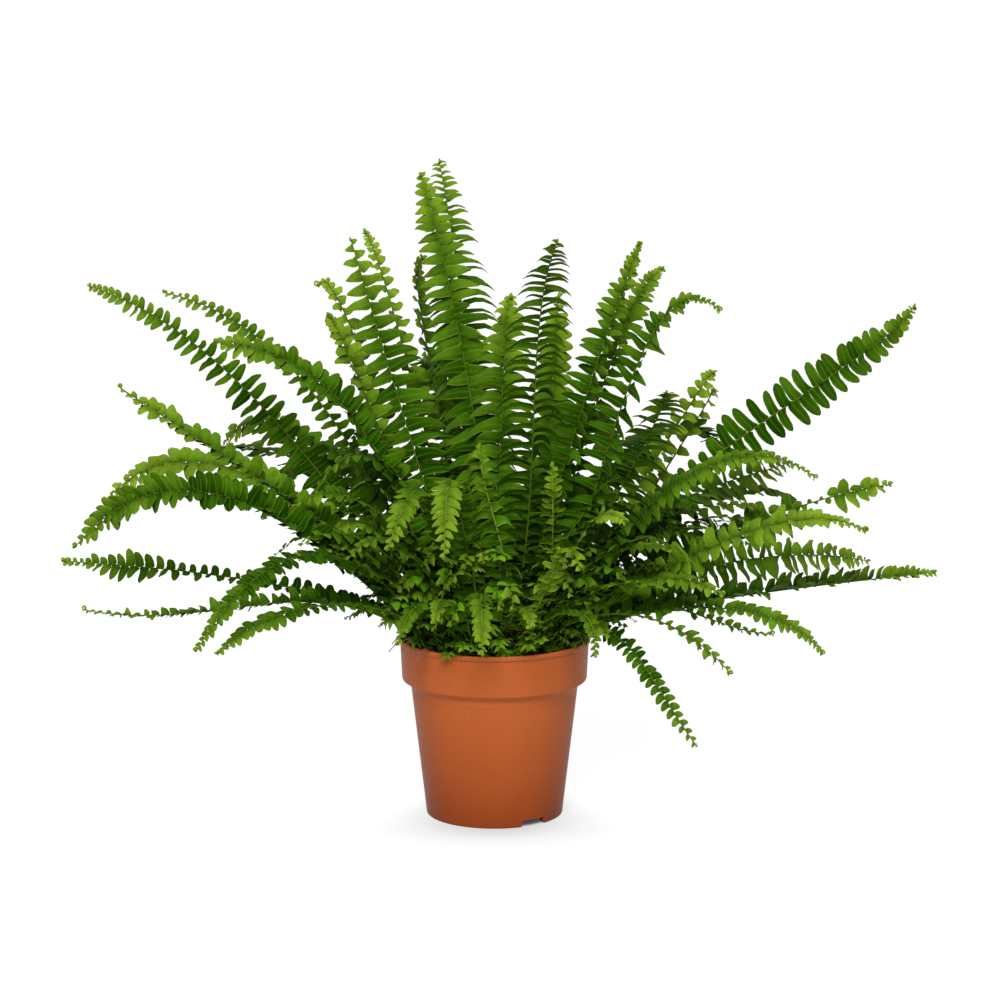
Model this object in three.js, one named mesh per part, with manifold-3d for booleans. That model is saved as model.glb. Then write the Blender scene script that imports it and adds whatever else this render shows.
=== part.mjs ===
// A potted sword fern: a plastic nursery pot, its peat, and one mesh for each frond.
// Millimetres, +Z up, +Y away from the front. The origin is the middle of the pot's underside.
import * as THREE from "three";
import { mergeVertices } from "three/addons/utils/BufferGeometryUtils.js";
import Module from "manifold-3d";

const wasm = await Module();
wasm.setup();

// Pot
const POT_HEIGHT = 115;
const LIP_RADIUS = 61;
const COLLAR_DEPTH = 27.6;
const COLLAR_FOOT_RADIUS = 58.8;
const NECK_RADIUS = 53.6;
const BASE_RADIUS = 43.4;
const POT_WALL = 1.6;
const FOOT_INNER_RADIUS = 39.8;
const PAD_RADIUS = 26;
const GUTTER_HEIGHT = 4.5;
const NOTCH_WIDTH = 16.4;
const NOTCH_COUNT = 2;
const NOTCH_ANGLE = -55.5;
const DRAIN_COUNT = 6;
const DRAIN_RADIUS = 3;
const DRAIN_CIRCLE = 33.5;
const DRAIN_SIDES = 10;
const ROUND_STEPS = 32;

// Peat and rhizome
const PEAT_GAP = 0.3;
const PEAT_FLOOR = 6.5;
const PEAT_MIDDLE = 111;
const PEAT_EDGE = 104;
const RHIZOME_MIDDLE = [-43, -24, 108];
const RHIZOME_RADII = [7, 4.5, 6];
const RHIZOME_TURN = -60;
const HOLE_DEPTH = 14;
const HOLE_CLEARANCE = 0.3;

// Fronds
const FOOT_SHARE = 0.38;
const FOOT_LIMIT = 43;
const FOOT_RISE = 2;
const BARE_SHARE = 0.14;
const STALK_STEPS = 3;
const STALK_HALF_WIDTH = 1.1;
const RIB_HALF_WIDTH = 0.45;
const LEAFLET_THICKNESS = 0.6;
const PITCH_TAPER = 1.15;
const SWEEP_FOOT = 8;
const SWEEP_TIP = 42;
const SAG_LENGTH = 46;
const FOOT_LEAFLET = 0.7;
const FOOT_WIDENING = 1.2;
const TIP_NARROWING = 0.84;
const TAPER_BROAD = 3;
const TAPER_NARROW = 5;
const BROAD_LENGTH = 26;
const NARROW_LENGTH = 14;
const SLIM_POWER = 1.5;
const LEAFLET_GAP = 0.5;
const BENDS = [0, 14, -14, 28, -28, 44, -44];
const CUTS = [1, 0.75, 0.5];
const KEEP_RADIUS = 63;
const KEEP_HEIGHT = 117;
const BLADE_END = 0.985;
const ROOT_LIFT = 0.4;
const RIB_PLACE = -9;

const YOUNG = new THREE.Color("#7fae2c");
const MATURE = new THREE.Color("#2f6f1d");

// Each row is one frond: where its rib passes a third and two thirds of the way along, where it
// ends, the length of its longest leaflets, how many pairs it bears, how far its face is rolled
// about the rib at the foot and at the tip, how far both rows of leaflets are folded up at the
// foot, all in degrees, how young it is, and how much of their length its last leaflets lack.
const FRONDS = {
  upright: [
    [[-10, 34, 210], [-20, 68, 308], [-36, 108, 407], 29, 19, -8, -12, 25, 0.35, 0.2],
    [[-6, 10, 201], [-23, 33, 307], [-47, 58, 403], 24, 18, -50, -55, 0, 0.45, 0.2],
    [[-40, 22, 193], [-66, 42, 276], [-92, 61, 361], 30, 17, -65, -65, 0, 0.3, 0.3],
    [[22, -24, 207], [26, -54, 303], [38, -81, 375], 25, 18, 0, -8, 32, 0, 0.1],
    [[-34, 43, 195], [-63, 72, 304], [-84, 97, 361], 19, 14, 0, -20, 20, 0.9, 0.75],
    [[3, 5, 189], [5, 12, 267], [10, 25, 329], 24, 14, 35, 35, 0, 0.8, 0.2],
    [[38, 5, 202], [67, 9, 296], [91, 4, 365], 21, 17, 45, 45, 40, 0.4, 0.6],
    [[48, 31, 204], [79, 54, 294], [108, 72, 341], 18, 15, 50, 50, 40, 0.5, 0.6],
    [[60, -9, 200], [94, -17, 303], [139, -26, 327], 24, 16, 60, 30, 30, 0.35, 0.7],
    [[-26, 50, 207], [-46, 87, 299], [-47, 112, 344], 16, 13, 40, 40, 30, 0.8, 0.6],
    [[30, 19, 193], [37, 39, 266], [41, 43, 328], 18, 12, 50, 50, 0, 0.75, 0.4],
    [[54, -38, 172], [88, -72, 244], [104, -94, 285], 26, 13, -30, -30, 0, 0, 0.2],
    [[-54, 36, 195], [-89, 60, 295], [-113, 68, 331], 11, 11, -30, -30, 20, 1, 0.5],
    [[-50, 5, 186], [-82, 3, 272], [-104, -3, 320], 20, 13, -40, -40, 20, 0.85, 0.2],
    [[68, 17, 170], [115, 39, 241], [140, 54, 276], 14, 11, 70, 70, 0, 0.9, 0.3],
    [[73, 38, 160], [124, 72, 230], [143, 101, 258], 13, 9, 60, 60, 0, 0.95, 0.3],
  ],
  right: [
    [[105, 17, 199], [208, 45, 270], [271, 76, 316], 22, 21, 62, 75, 0, 0.25, 0.45],
    [[70, -22, 176], [131, -47, 232], [196, -66, 229], 24, 14, 30, 20, 0, 0.5, 0.7],
    [[93, 0, 156], [175, 3, 192], [250, 0, 213], 20, 16, 40, 40, 0, 0.35, 0.4],
    [[86, -28, 150], [159, -56, 194], [226, -77, 198], 17, 15, 35, 25, 20, 0.85, 0.45],
    [[97, -12, 133], [189, -16, 149], [277, -14, 159], 17, 18, 40, 45, 75, 0.3, 0.4],
    [[91, 31, 139], [171, 74, 150], [249, 120, 139], 16, 14, 60, 60, 0, 0.4, 0.2],
    [[79, -42, 137], [148, -74, 148], [199, -101, 127], 12, 14, 15, 20, 20, 0.35, 0.4],
    [[62, -56, 140], [103, -94, 144], [142, -120, 119], 9, 9, 15, 15, 30, 0.4, 0.4],
    [[68, -38, 127], [95, -67, 107], [124, -79, 64], 9, 11, 30, 55, 0, 0.2, 0.3],
    [[72, 29, 169], [133, 70, 195], [195, 116, 206], 18, 12, 45, 45, 0, 0.3, 0.2],
    [[88, -16, 139], [132, -27, 133], [174, -36, 124], 8, 9, 20, 20, 30, 0.3, 0.2],
  ],
  left: [
    [[-97, 17, 198], [-173, 38, 281], [-259, 52, 332], 17, 21, -60, -60, 0, 0.4, 0.5],
    [[-72, 41, 194], [-132, 83, 274], [-218, 124, 319], 12, 18, -60, -40, 0, 0.35, 0.4],
    [[-98, -46, 174], [-175, -79, 222], [-252, -106, 194], 20, 19, -35, -50, 60, 0.7, 0.2],
    [[-71, -14, 229], [-115, -24, 287], [-172, -33, 308], 17, 14, -40, -30, 30, 0.2, 0.4],
    [[-96, -26, 180], [-153, -44, 229], [-229, -60, 284], 15, 16, -25, -25, 45, 0.45, 0.5],
    [[-91, 5, 172], [-170, 16, 221], [-247, 12, 200], 15, 14, -40, -40, 20, 0.75, 0.2],
    [[-72, 26, 181], [-131, 58, 236], [-179, 80, 221], 16, 11, -40, -40, 0, 0.5, 0.2],
    [[-103, -10, 142], [-191, -18, 160], [-270, -23, 168], 14, 18, -35, -50, 45, 0.3, 0.25],
    [[-105, -39, 145], [-173, -76, 148], [-249, -97, 153], 11, 14, -10, -10, 45, 0.5, 0.3],
    [[-88, -62, 175], [-134, -123, 184], [-175, -163, 143], 10, 14, -20, -20, 0, 0.15, 0.3],
    [[-72, -64, 146], [-121, -114, 156], [-163, -154, 139], 11, 12, -20, -20, 0, 0.25, 0.3],
    [[-58, -30, 152], [-89, -58, 174], [-121, -80, 182], 10, 8, -20, -20, 0, 0.8, 0.2],
  ],
  front: [
    [[-16, -38, 172], [-25, -82, 228], [-30, -112, 189], 15, 11, 0, 0, 0, 0.9, 0.1],
    [[-30, -30, 170], [-43, -66, 220], [-64, -98, 191], 15, 10, 0, -10, 0, 0.8, 0.1],
    [[8, -46, 163], [-2, -66, 210], [-9, -74, 250], 12, 10, 0, 0, 0, 0.45, 0],
    [[32, -42, 156], [36, -66, 199], [36, -72, 238], 9, 9, 0, 0, 0, 0.8, 0.1],
    [[24, -54, 141], [33, -66, 162], [40, -70, 184], 9, 8, 0, 0, 0, 0.75, 0],
    [[40, -34, 156], [58, -58, 197], [80, -68, 202], 14, 8, 20, 20, 0, 0.9, 0.1],
    [[-7, -46, 146], [-8, -82, 157], [-7, -102, 127], 9, 8, 0, 0, 0, 0.85, 0.1],
    [[38, -54, 140], [56, -80, 145], [61, -94, 124], 9, 7, 0, 0, 0, 0.5, 0.1],
    [[-36, -40, 142], [-50, -64, 146], [-59, -80, 128], 9, 7, 0, 0, 0, 0.6, 0.1],
    [[-20, -52, 140], [-30, -80, 154], [-36, -98, 146], 9, 7, 0, 0, 0, 0.7, 0.1],
    [[10, -56, 138], [18, -84, 152], [22, -104, 144], 9, 7, 0, 0, 0, 0.7, 0.1],
    [[61, -44, 144], [97, -68, 166], [139, -90, 161], 14, 9, 10, 10, 0, 0.6, 0.1],
  ],
  back: [
    [[-14, 58, 203], [-34, 142, 266], [-54, 226, 214], 26, 15, 0, 0, 0, 0.3, 0.2],
    [[24, 58, 192], [56, 144, 236], [84, 228, 168], 24, 15, 0, 0, 0, 0.35, 0.2],
    [[-46, 60, 182], [-104, 120, 214], [-158, 172, 158], 22, 14, 0, 0, 0, 0.3, 0.2],
    [[52, 50, 186], [112, 122, 227], [168, 184, 184], 24, 14, 0, 0, 0, 0.25, 0.2],
    [[-60, 50, 172], [-132, 102, 212], [-192, 142, 206], 20, 13, 0, 0, 0, 0.4, 0.2],
    [[66, 56, 158], [144, 106, 188], [204, 146, 170], 20, 13, 0, 0, 0, 0.4, 0.2],
  ],
};

const radians = THREE.MathUtils.degToRad;
const vector = (x, y, z) => new THREE.Vector3(x, y, z);
const UP = vector(0, 0, 1);

// A closed geometry as a solid for joining and cutting.
function solidOf(geometry) {
  const bare = geometry.clone();
  bare.deleteAttribute("normal");
  bare.deleteAttribute("uv");
  const merged = mergeVertices(bare, 1e-3);
  return new wasm.Manifold(
    new wasm.Mesh({
      numProp: 3,
      vertProperties: new Float32Array(merged.attributes.position.array),
      triVerts: new Uint32Array(merged.index.array),
    }),
  );
}

function geometryOf(solid) {
  const mesh = solid.getMesh();
  const geometry = new THREE.BufferGeometry();
  geometry.setAttribute("position", new THREE.BufferAttribute(mesh.vertProperties, 3));
  geometry.setIndex(new THREE.BufferAttribute(mesh.triVerts, 1));
  geometry.computeVertexNormals();
  return geometry;
}

function turned(points) {
  const profile = points.map(([r, z]) => new THREE.Vector2(r, z));
  return new THREE.LatheGeometry(profile, ROUND_STEPS).rotateX(Math.PI / 2);
}

// The body's outer radius at a height: it widens evenly from the base to the neck.
const collarBottom = POT_HEIGHT - COLLAR_DEPTH;
const bodyRadius = (z) => BASE_RADIUS + ((NECK_RADIUS - BASE_RADIUS) * z) / collarBottom;

function potGeometry() {
  const floor = GUTTER_HEIGHT + POT_WALL;
  const shoulder = collarBottom + POT_WALL;
  const outer = [
    [0, 0],
    [PAD_RADIUS, 0],
    [PAD_RADIUS + 2, GUTTER_HEIGHT],
    [FOOT_INNER_RADIUS - 0.6, GUTTER_HEIGHT],
    [FOOT_INNER_RADIUS, 0],
    [BASE_RADIUS - 1.2, 0],
    [bodyRadius(1.4), 1.4],
    [bodyRadius(collarBottom - 1.2), collarBottom - 1.2],
    [NECK_RADIUS + 1.2, collarBottom],
    [COLLAR_FOOT_RADIUS - 1.6, collarBottom + 0.5],
    [COLLAR_FOOT_RADIUS, collarBottom + 2.4],
    [LIP_RADIUS - 0.4, POT_HEIGHT - 2.4],
    [LIP_RADIUS, POT_HEIGHT - 0.9],
    [LIP_RADIUS - 0.9, POT_HEIGHT],
  ];
  const inner = [
    [LIP_RADIUS - POT_WALL - 0.4, POT_HEIGHT - 0.8],
    [COLLAR_FOOT_RADIUS - POT_WALL, shoulder + 1.6],
    [COLLAR_FOOT_RADIUS - POT_WALL - 1.4, shoulder],
    [bodyRadius(shoulder) - POT_WALL, shoulder - 1.2],
    [bodyRadius(floor) - POT_WALL, floor],
    [PAD_RADIUS + 2.6, floor],
    [PAD_RADIUS - 0.6, POT_WALL],
    [0, POT_WALL],
  ];
  let pot = solidOf(turned([...outer, ...inner]));
  for (let i = 0; i < NOTCH_COUNT; i++) {
    pot = pot.subtract(solidOf(notchGeometry(NOTCH_ANGLE + (360 * i) / NOTCH_COUNT)));
  }
  for (let i = 0; i < DRAIN_COUNT; i++) {
    const angle = radians((360 * (i + 0.5)) / DRAIN_COUNT);
    const drain = new THREE.CylinderGeometry(DRAIN_RADIUS, DRAIN_RADIUS, 8, DRAIN_SIDES)
      .rotateX(Math.PI / 2)
      .translate(DRAIN_CIRCLE * Math.cos(angle), DRAIN_CIRCLE * Math.sin(angle), floor);
    pot = pot.subtract(solidOf(drain));
  }
  return geometryOf(pot);
}

// A water notch through the foot ring: straight above, flared at the rounded lower corners.
function notchGeometry(angle) {
  const half = NOTCH_WIDTH / 2;
  const flare = 1.4;
  const shape = new THREE.Shape();
  shape.moveTo(-half - flare, -1);
  shape.lineTo(half + flare, -1);
  shape.lineTo(half + flare, 0);
  shape.lineTo(half + 0.4, 0.6);
  shape.lineTo(half, 1.6);
  shape.lineTo(half, GUTTER_HEIGHT - 0.1);
  shape.lineTo(-half, GUTTER_HEIGHT - 0.1);
  shape.lineTo(-half, 1.6);
  shape.lineTo(-half - 0.4, 0.6);
  shape.lineTo(-half - flare, 0);
  return new THREE.ExtrudeGeometry(shape, { depth: 12, bevelEnabled: false })
    .rotateX(Math.PI / 2)
    .translate(0, BASE_RADIUS + 6, 0)
    .rotateZ(radians(angle - 90));
}

// The peat's surface is a low mound.
function peatHeight(x, y) {
  const share = Math.hypot(x, y) / (COLLAR_FOOT_RADIUS - POT_WALL);
  return PEAT_MIDDLE - (PEAT_MIDDLE - PEAT_EDGE) * share * share;
}

function rhizomeGeometry(growth) {
  return new THREE.SphereGeometry(1, 10, 7)
    .rotateX(Math.PI / 2)
    .scale(...RHIZOME_RADII.map((r) => r + growth))
    .rotateZ(radians(RHIZOME_TURN))
    .translate(...RHIZOME_MIDDLE);
}

function peatGeometry(fronds) {
  const gap = POT_WALL + PEAT_GAP;
  const shoulder = collarBottom + POT_WALL;
  const edge = COLLAR_FOOT_RADIUS - gap;
  const mound = [0.75, 0.45].map((share) => [edge * share, peatHeight(edge * share, 0)]);
  const profile = [
    [0, PEAT_FLOOR],
    [bodyRadius(PEAT_FLOOR) - gap, PEAT_FLOOR],
    [bodyRadius(shoulder) - gap - 0.1, shoulder - 0.6],
    [edge - 2, shoulder + 0.6],
    [edge - 0.1, shoulder + 2.6],
    [edge, PEAT_EDGE],
    ...mound,
    [0, PEAT_MIDDLE],
  ];
  let peat = solidOf(turned(profile)).subtract(solidOf(rhizomeGeometry(PEAT_GAP)));
  for (const frond of fronds) {
    const width = 2 * (STALK_HALF_WIDTH + HOLE_CLEARANCE);
    const hole = new THREE.BoxGeometry(width, width, 2 * HOLE_DEPTH)
      .rotateZ(Math.atan2(frond.level.y, frond.level.x))
      .translate(frond.foot.x, frond.foot.y, frond.foot.z - FOOT_RISE);
    peat = peat.subtract(solidOf(hole));
  }
  return geometryOf(peat);
}

// The cubic curve from the foot that passes the two inner points at a third and two thirds.
function ribCurve(foot, third, second, tip) {
  const mix = (a, b, c, d) =>
    vector(0, 0, 0)
      .addScaledVector(foot, a / 6)
      .addScaledVector(third, b / 6)
      .addScaledVector(second, c / 6)
      .addScaledVector(tip, d / 6);
  const firstHandle = mix(-5, 18, -9, 2);
  const secondHandle = mix(2, -9, 18, -5);
  return new THREE.CubicBezierCurve3(foot, firstHandle, secondHandle, tip);
}

// The frame of a frond at a place on its rib: side points to its left, normal out of its face.
function ribStation(point, tangent, level, roll, half) {
  const side = level.clone().addScaledVector(tangent, -level.dot(tangent)).normalize();
  side.applyAxisAngle(tangent, radians(roll));
  const normal = tangent.clone().cross(side);
  const corner = (s, n) =>
    point
      .clone()
      .addScaledVector(side, s * half)
      .addScaledVector(normal, n * half);
  return {
    point,
    tangent,
    side,
    normal,
    corners: [corner(1, 1), corner(-1, 1), corner(-1, -1), corner(1, -1)],
  };
}

function makeFrond(name, row) {
  const [third, second, tip, length, pairs, rollFoot, rollTip, fold, young, slim] = row;
  const knee = vector(...third);
  const reach = Math.hypot(knee.x, knee.y);
  const share = Math.min(FOOT_SHARE, FOOT_LIMIT / reach);
  const foot = vector(knee.x * share, knee.y * share, 0);
  foot.z = peatHeight(foot.x, foot.y) + FOOT_RISE;
  const curve = ribCurve(foot, knee, vector(...second), vector(...tip));
  const heading = vector(tip[0] - foot.x, tip[1] - foot.y, 0).normalize();
  const level = UP.clone().cross(heading);
  const rootDepth = FOOT_RISE + HOLE_DEPTH - ROOT_LIFT;
  const root = foot.clone().setZ(foot.z - rootDepth);
  const stations = [
    ribStation(root, UP, level, 0, STALK_HALF_WIDTH),
    ribStation(foot, UP, level, 0, STALK_HALF_WIDTH),
  ];
  const addStation = (t) => {
    const half = THREE.MathUtils.lerp(STALK_HALF_WIDTH, RIB_HALF_WIDTH, Math.sqrt(t));
    const roll = THREE.MathUtils.lerp(rollFoot, rollTip, t) * Math.min(1, t / BARE_SHARE);
    stations.push(ribStation(curve.getPoint(t), curve.getTangent(t), level, roll, half));
  };
  for (let i = 1; i < STALK_STEPS; i++) addStation((BARE_SHARE * i) / STALK_STEPS);
  const blade = stations.length;
  for (let i = 0; i <= pairs; i++) {
    addStation(BARE_SHARE + (1 - BARE_SHARE) * BLADE_END * (1 - (1 - i / pairs) ** PITCH_TAPER));
  }
  const end = vector(...tip);
  const leaflets = [];
  return { name, foot, level, stations, blade, pairs, length, fold, young, slim, tip: end, leaflets };
}

// How long the leaflets are along the blade: short at the foot, longest at a third, fine at the
// tip. Broad fronds narrow over their whole length, narrow ones only near the tip.
function leafletShare(length, u) {
  const { mapLinear, clamp } = THREE.MathUtils;
  const taper = mapLinear(length, NARROW_LENGTH, BROAD_LENGTH, TAPER_NARROW, TAPER_BROAD);
  const rise = Math.min(1, FOOT_LEAFLET + FOOT_WIDENING * u);
  return rise * (1 - TIP_NARROWING * u ** clamp(taper, TAPER_BROAD, TAPER_NARROW));
}

// A leaflet as the six corners of a thin three-sided blade whose root is one step of the rib.
function leafletCorners(frond, index, hand, bend, cut) {
  const a = frond.stations[frond.blade + index];
  const b = frond.stations[frond.blade + index + 1];
  const u = (index + 0.5) / frond.pairs;
  const slender = 1 - frond.slim * u ** SLIM_POWER;
  const length = frond.length * leafletShare(frond.length, u) * slender * cut;
  const tangent = a.tangent.clone().add(b.tangent).normalize();
  const side = a.side.clone().add(b.side).normalize().multiplyScalar(hand);
  const sweep = radians(THREE.MathUtils.lerp(SWEEP_FOOT, SWEEP_TIP, u * u));
  const reach = side.clone().multiplyScalar(Math.cos(sweep));
  reach.addScaledVector(tangent, Math.sin(sweep));
  reach.applyAxisAngle(tangent, radians((frond.fold * (1 - u * u) + bend) * hand));
  reach.addScaledVector(UP, -((length / SAG_LENGTH) ** 2)).normalize();
  const [top, under] = hand > 0 ? [0, 3] : [1, 2];
  const tip = a.corners[top]
    .clone()
    .add(a.corners[under])
    .add(b.corners[top])
    .add(b.corners[under])
    .multiplyScalar(0.25)
    .addScaledVector(reach, length);
  const half = (hand * LEAFLET_THICKNESS) / 2;
  const normal = tangent.clone().cross(reach).normalize().multiplyScalar(half);
  return [
    a.corners[top],
    a.corners[under],
    b.corners[top],
    b.corners[under],
    tip.clone().add(normal),
    tip.clone().sub(normal),
  ];
}

// A convex piece for the clearance test: its corners, and the directions of its edges and faces.
function convexPiece(points, edges, owner, place) {
  const normals = [];
  edges.forEach((a, i) =>
    edges.slice(i + 1).forEach((b) => normals.push(a.clone().cross(b).normalize())),
  );
  const box = new THREE.Box3().setFromPoints(points).expandByScalar(LEAFLET_GAP);
  return { points, edges, normals, box, owner, place };
}

function leafletPiece(corners, owner, place) {
  const [aTop, aUnder, bTop, bUnder, tipTop, tipUnder] = corners;
  const edges = [
    bTop.clone().sub(aTop),
    tipTop.clone().sub(aTop),
    tipTop.clone().sub(bTop),
    tipTop.clone().sub(tipUnder),
    aTop.clone().sub(aUnder),
    bTop.clone().sub(bUnder),
  ];
  return convexPiece(corners, edges, owner, place);
}

function ribPiece(a, b, owner) {
  const edges = [b.point.clone().sub(a.point), a.side.clone(), a.normal.clone()];
  return convexPiece([...a.corners, ...b.corners], edges, owner, RIB_PLACE);
}

// Two convex pieces are apart when some axis separates them by the gap.
function apart(a, b) {
  const separates = (axis) => {
    if (axis.lengthSq() < 0.5) return false;
    let [aLow, aHigh, bLow, bHigh] = [Infinity, -Infinity, Infinity, -Infinity];
    for (const p of a.points) {
      const d = p.dot(axis);
      aLow = Math.min(aLow, d);
      aHigh = Math.max(aHigh, d);
    }
    for (const p of b.points) {
      const d = p.dot(axis);
      bLow = Math.min(bLow, d);
      bHigh = Math.max(bHigh, d);
    }
    return aLow - bHigh > LEAFLET_GAP || bLow - aHigh > LEAFLET_GAP;
  };
  if (a.normals.some(separates) || b.normals.some(separates)) return true;
  const axis = vector(0, 0, 0);
  return a.edges.some((ea) =>
    b.edges.some((eb) => separates(axis.crossVectors(ea, eb).normalize())),
  );
}

// Whether a leaflet stays off the pot's rim and the peat.
function clearOfPot(piece) {
  const [aTop, , bTop, , tip] = piece.points;
  return [0.25, 0.5, 0.75, 1].every((share) =>
    [aTop, bTop].every((root) => {
      const p = root.clone().lerp(tip, share);
      return Math.hypot(p.x, p.y) > KEEP_RADIUS || p.z > KEEP_HEIGHT;
    }),
  );
}

// Leaflets are set one after another. Each takes the first bend, and then the first length, that
// leaves it clear of the ribs and of the leaflets already set; one that never clears is left out.
function setLeaflets(fronds) {
  const placed = [];
  for (const frond of fronds) {
    frond.stations.slice(1).forEach((station, i) => {
      placed.push(ribPiece(frond.stations[i], station, frond));
    });
  }
  const grownTogether = (a, b) =>
    a.owner === b.owner && (b.place === RIB_PLACE || Math.abs(a.place - b.place) <= 1);
  const free = (piece) =>
    clearOfPot(piece) &&
    placed.every(
      (other) =>
        grownTogether(piece, other) || !piece.box.intersectsBox(other.box) || apart(piece, other),
    );
  for (const frond of fronds) {
    for (let index = 0; index < frond.pairs; index++) {
      const pair = [1, -1].map((hand) => {
        for (const cut of CUTS) {
          for (const bend of BENDS) {
            const corners = leafletCorners(frond, index, hand, bend, cut);
            const piece = leafletPiece(corners, frond, index);
            if (free(piece)) {
              placed.push(piece);
              return corners;
            }
          }
        }
        return null;
      });
      frond.leaflets.push(pair);
    }
  }
}

// One closed mesh: the rib is a chain of four-sided steps, and a leaflet takes the place of the
// step's side wall.
function frondGeometry(frond) {
  const positions = [];
  const face = (...points) => {
    for (let i = 1; i < points.length - 1; i++) {
      for (const p of [points[0], points[i], points[i + 1]]) positions.push(p.x, p.y, p.z);
    }
  };
  const { stations } = frond;
  const [rootA, rootB, rootC, rootD] = stations[0].corners;
  face(rootA, rootD, rootC, rootB);
  stations.slice(1).forEach((station, i) => {
    const [lt, rt, rb, lb] = stations[i].corners;
    const [ltNext, rtNext, rbNext, lbNext] = station.corners;
    face(lt, rt, rtNext, ltNext);
    face(lb, lbNext, rbNext, rb);
    const [left, right] = frond.leaflets[i - frond.blade] ?? [null, null];
    if (left) {
      const [, , , , top, under] = left;
      face(lt, ltNext, top);
      face(lbNext, lb, under);
      face(lb, lt, top, under);
      face(ltNext, lbNext, under, top);
    } else {
      face(lt, ltNext, lbNext, lb);
    }
    if (right) {
      const [, , , , top, under] = right;
      face(rtNext, rt, top);
      face(rb, rbNext, under);
      face(rt, rb, under, top);
      face(rbNext, rtNext, top, under);
    } else {
      face(rt, rb, rbNext, rtNext);
    }
  });
  const last = stations[stations.length - 1];
  const [lt, rt, rb, lb] = last.corners;
  const end = (n) => frond.tip.clone().addScaledVector(last.normal, (n * LEAFLET_THICKNESS) / 2);
  const [endTop, endUnder] = [end(1), end(-1)];
  face(lt, rt, endTop);
  face(lb, endUnder, rb);
  face(lt, endTop, endUnder, lb);
  face(rt, rb, endUnder, endTop);
  const geometry = new THREE.BufferGeometry();
  geometry.setAttribute("position", new THREE.Float32BufferAttribute(positions, 3));
  const merged = mergeVertices(geometry, 1e-3);
  merged.computeVertexNormals();
  return merged;
}

function addMesh(group, name, geometry, color, roughness) {
  const material = new THREE.MeshStandardMaterial({ color, roughness, metalness: 0 });
  const mesh = new THREE.Mesh(geometry, material);
  mesh.name = name;
  group.add(mesh);
}

const fern = new THREE.Group();
fern.name = "potted_fern";
const fronds = Object.entries(FRONDS).flatMap(([place, rows]) =>
  rows.map((row, i) => makeFrond(`frond_${place}_${i + 1}`, row)),
);
setLeaflets(fronds);
addMesh(fern, "pot", potGeometry(), "#b85c34", 0.45);
addMesh(fern, "peat", peatGeometry(fronds), "#3a2819", 0.95);
addMesh(fern, "rhizome", rhizomeGeometry(0), "#5b3a20", 0.85);
for (const frond of fronds) {
  addMesh(fern, frond.name, frondGeometry(frond), MATURE.clone().lerp(YOUNG, frond.young), 0.5);
}

export default fern;
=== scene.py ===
"""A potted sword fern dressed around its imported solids: pot, peat, runners and leafy fronds.

Shapes are worked out in millimetres, with +Z up and +Y away from the front, and are put into
their meshes in metres.
"""

import math

import bpy
import numpy as np
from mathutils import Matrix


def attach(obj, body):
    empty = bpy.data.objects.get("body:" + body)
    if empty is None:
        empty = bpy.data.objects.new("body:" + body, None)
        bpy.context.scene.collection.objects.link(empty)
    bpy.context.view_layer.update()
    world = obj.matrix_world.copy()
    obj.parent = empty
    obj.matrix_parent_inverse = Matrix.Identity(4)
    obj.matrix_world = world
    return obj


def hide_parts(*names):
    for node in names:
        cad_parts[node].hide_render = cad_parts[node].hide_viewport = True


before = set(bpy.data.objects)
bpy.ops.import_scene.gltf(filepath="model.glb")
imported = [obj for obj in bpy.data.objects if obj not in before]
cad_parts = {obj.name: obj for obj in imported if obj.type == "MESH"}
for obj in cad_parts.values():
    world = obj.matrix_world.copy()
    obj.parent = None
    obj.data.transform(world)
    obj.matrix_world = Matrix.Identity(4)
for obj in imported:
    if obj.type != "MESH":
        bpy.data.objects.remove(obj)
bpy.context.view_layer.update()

MM = 0.001
UP = np.array([0.0, 0.0, 1.0])

# Pot
POT_HEIGHT = 115
LIP_RADIUS = 61
LIP_DEPTH = 3
LIP_STEP = 1
COLLAR_DEPTH = 27.6
COLLAR_FOOT_RADIUS = 58.8
NECK_RADIUS = 53.6
BASE_RADIUS = 43.4
POT_WALL = 1.6
FOOT_INNER_RADIUS = 39.8
PAD_RADIUS = 26
GUTTER_HEIGHT = 4.5
NOTCH_WIDTH = 16.4
NOTCH_FLARE = 1.4
NOTCH_SPAN = (36, 48)
NOTCH_ANGLES = (-55.5, 124.5)
DRAIN_COUNT = 6
DRAIN_RADIUS = 3
DRAIN_CIRCLE = 33.5
DRAIN_STEPS = 24
BODY_LEVELS = (30, 50, 70, 80)
FOOT_ROUNDING = 0.8
COLLAR_ROUNDING = 1.3
POT_STEPS = 180
AXIS_GAP = 0.6
POT_CREASE = 38

# Peat, with the pace, the turn and the height of each wave of its clods
PEAT_GAP = 0.3
PEAT_FLOOR = 6.5
PEAT_MIDDLE = 111
PEAT_EDGE = 104
PEAT_STEPS = 150
CLOD_WAVES = [
    (0.21, 0.4, 0.9), (0.34, 2.1, 0.7), (0.55, 4.0, 0.5), (0.83, 1.2, 0.4), (1.3, 5.3, 0.25),
]
CRUMB_COUNT = 420
FIBRE_COUNT = 70
LITTER_CIRCLE = 53

# Rhizome, with the four handles of each of its runners
RHIZOME_MIDDLE = (-43, -24, 108)
RHIZOME_RADII = (7, 4.5, 6)
RHIZOME_TURN = -60
RHIZOME_SCALES = 90
RUNNERS = [
    ((-44, -26, 112), (-48, -34, 120), (-54, -38, 122), (-57, -42, 116)),
    ((-42, -22, 112), (-50, -26, 121), (-58, -28, 120), (-66, -32, 112)),
    ((-46, -20, 111), (-54, -22, 120), (-60, -24, 121), (-64, -28, 116)),
    ((-38, -34, 110), (-42, -46, 118), (-44, -54, 120), (-48, -60, 112)),
]

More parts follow.
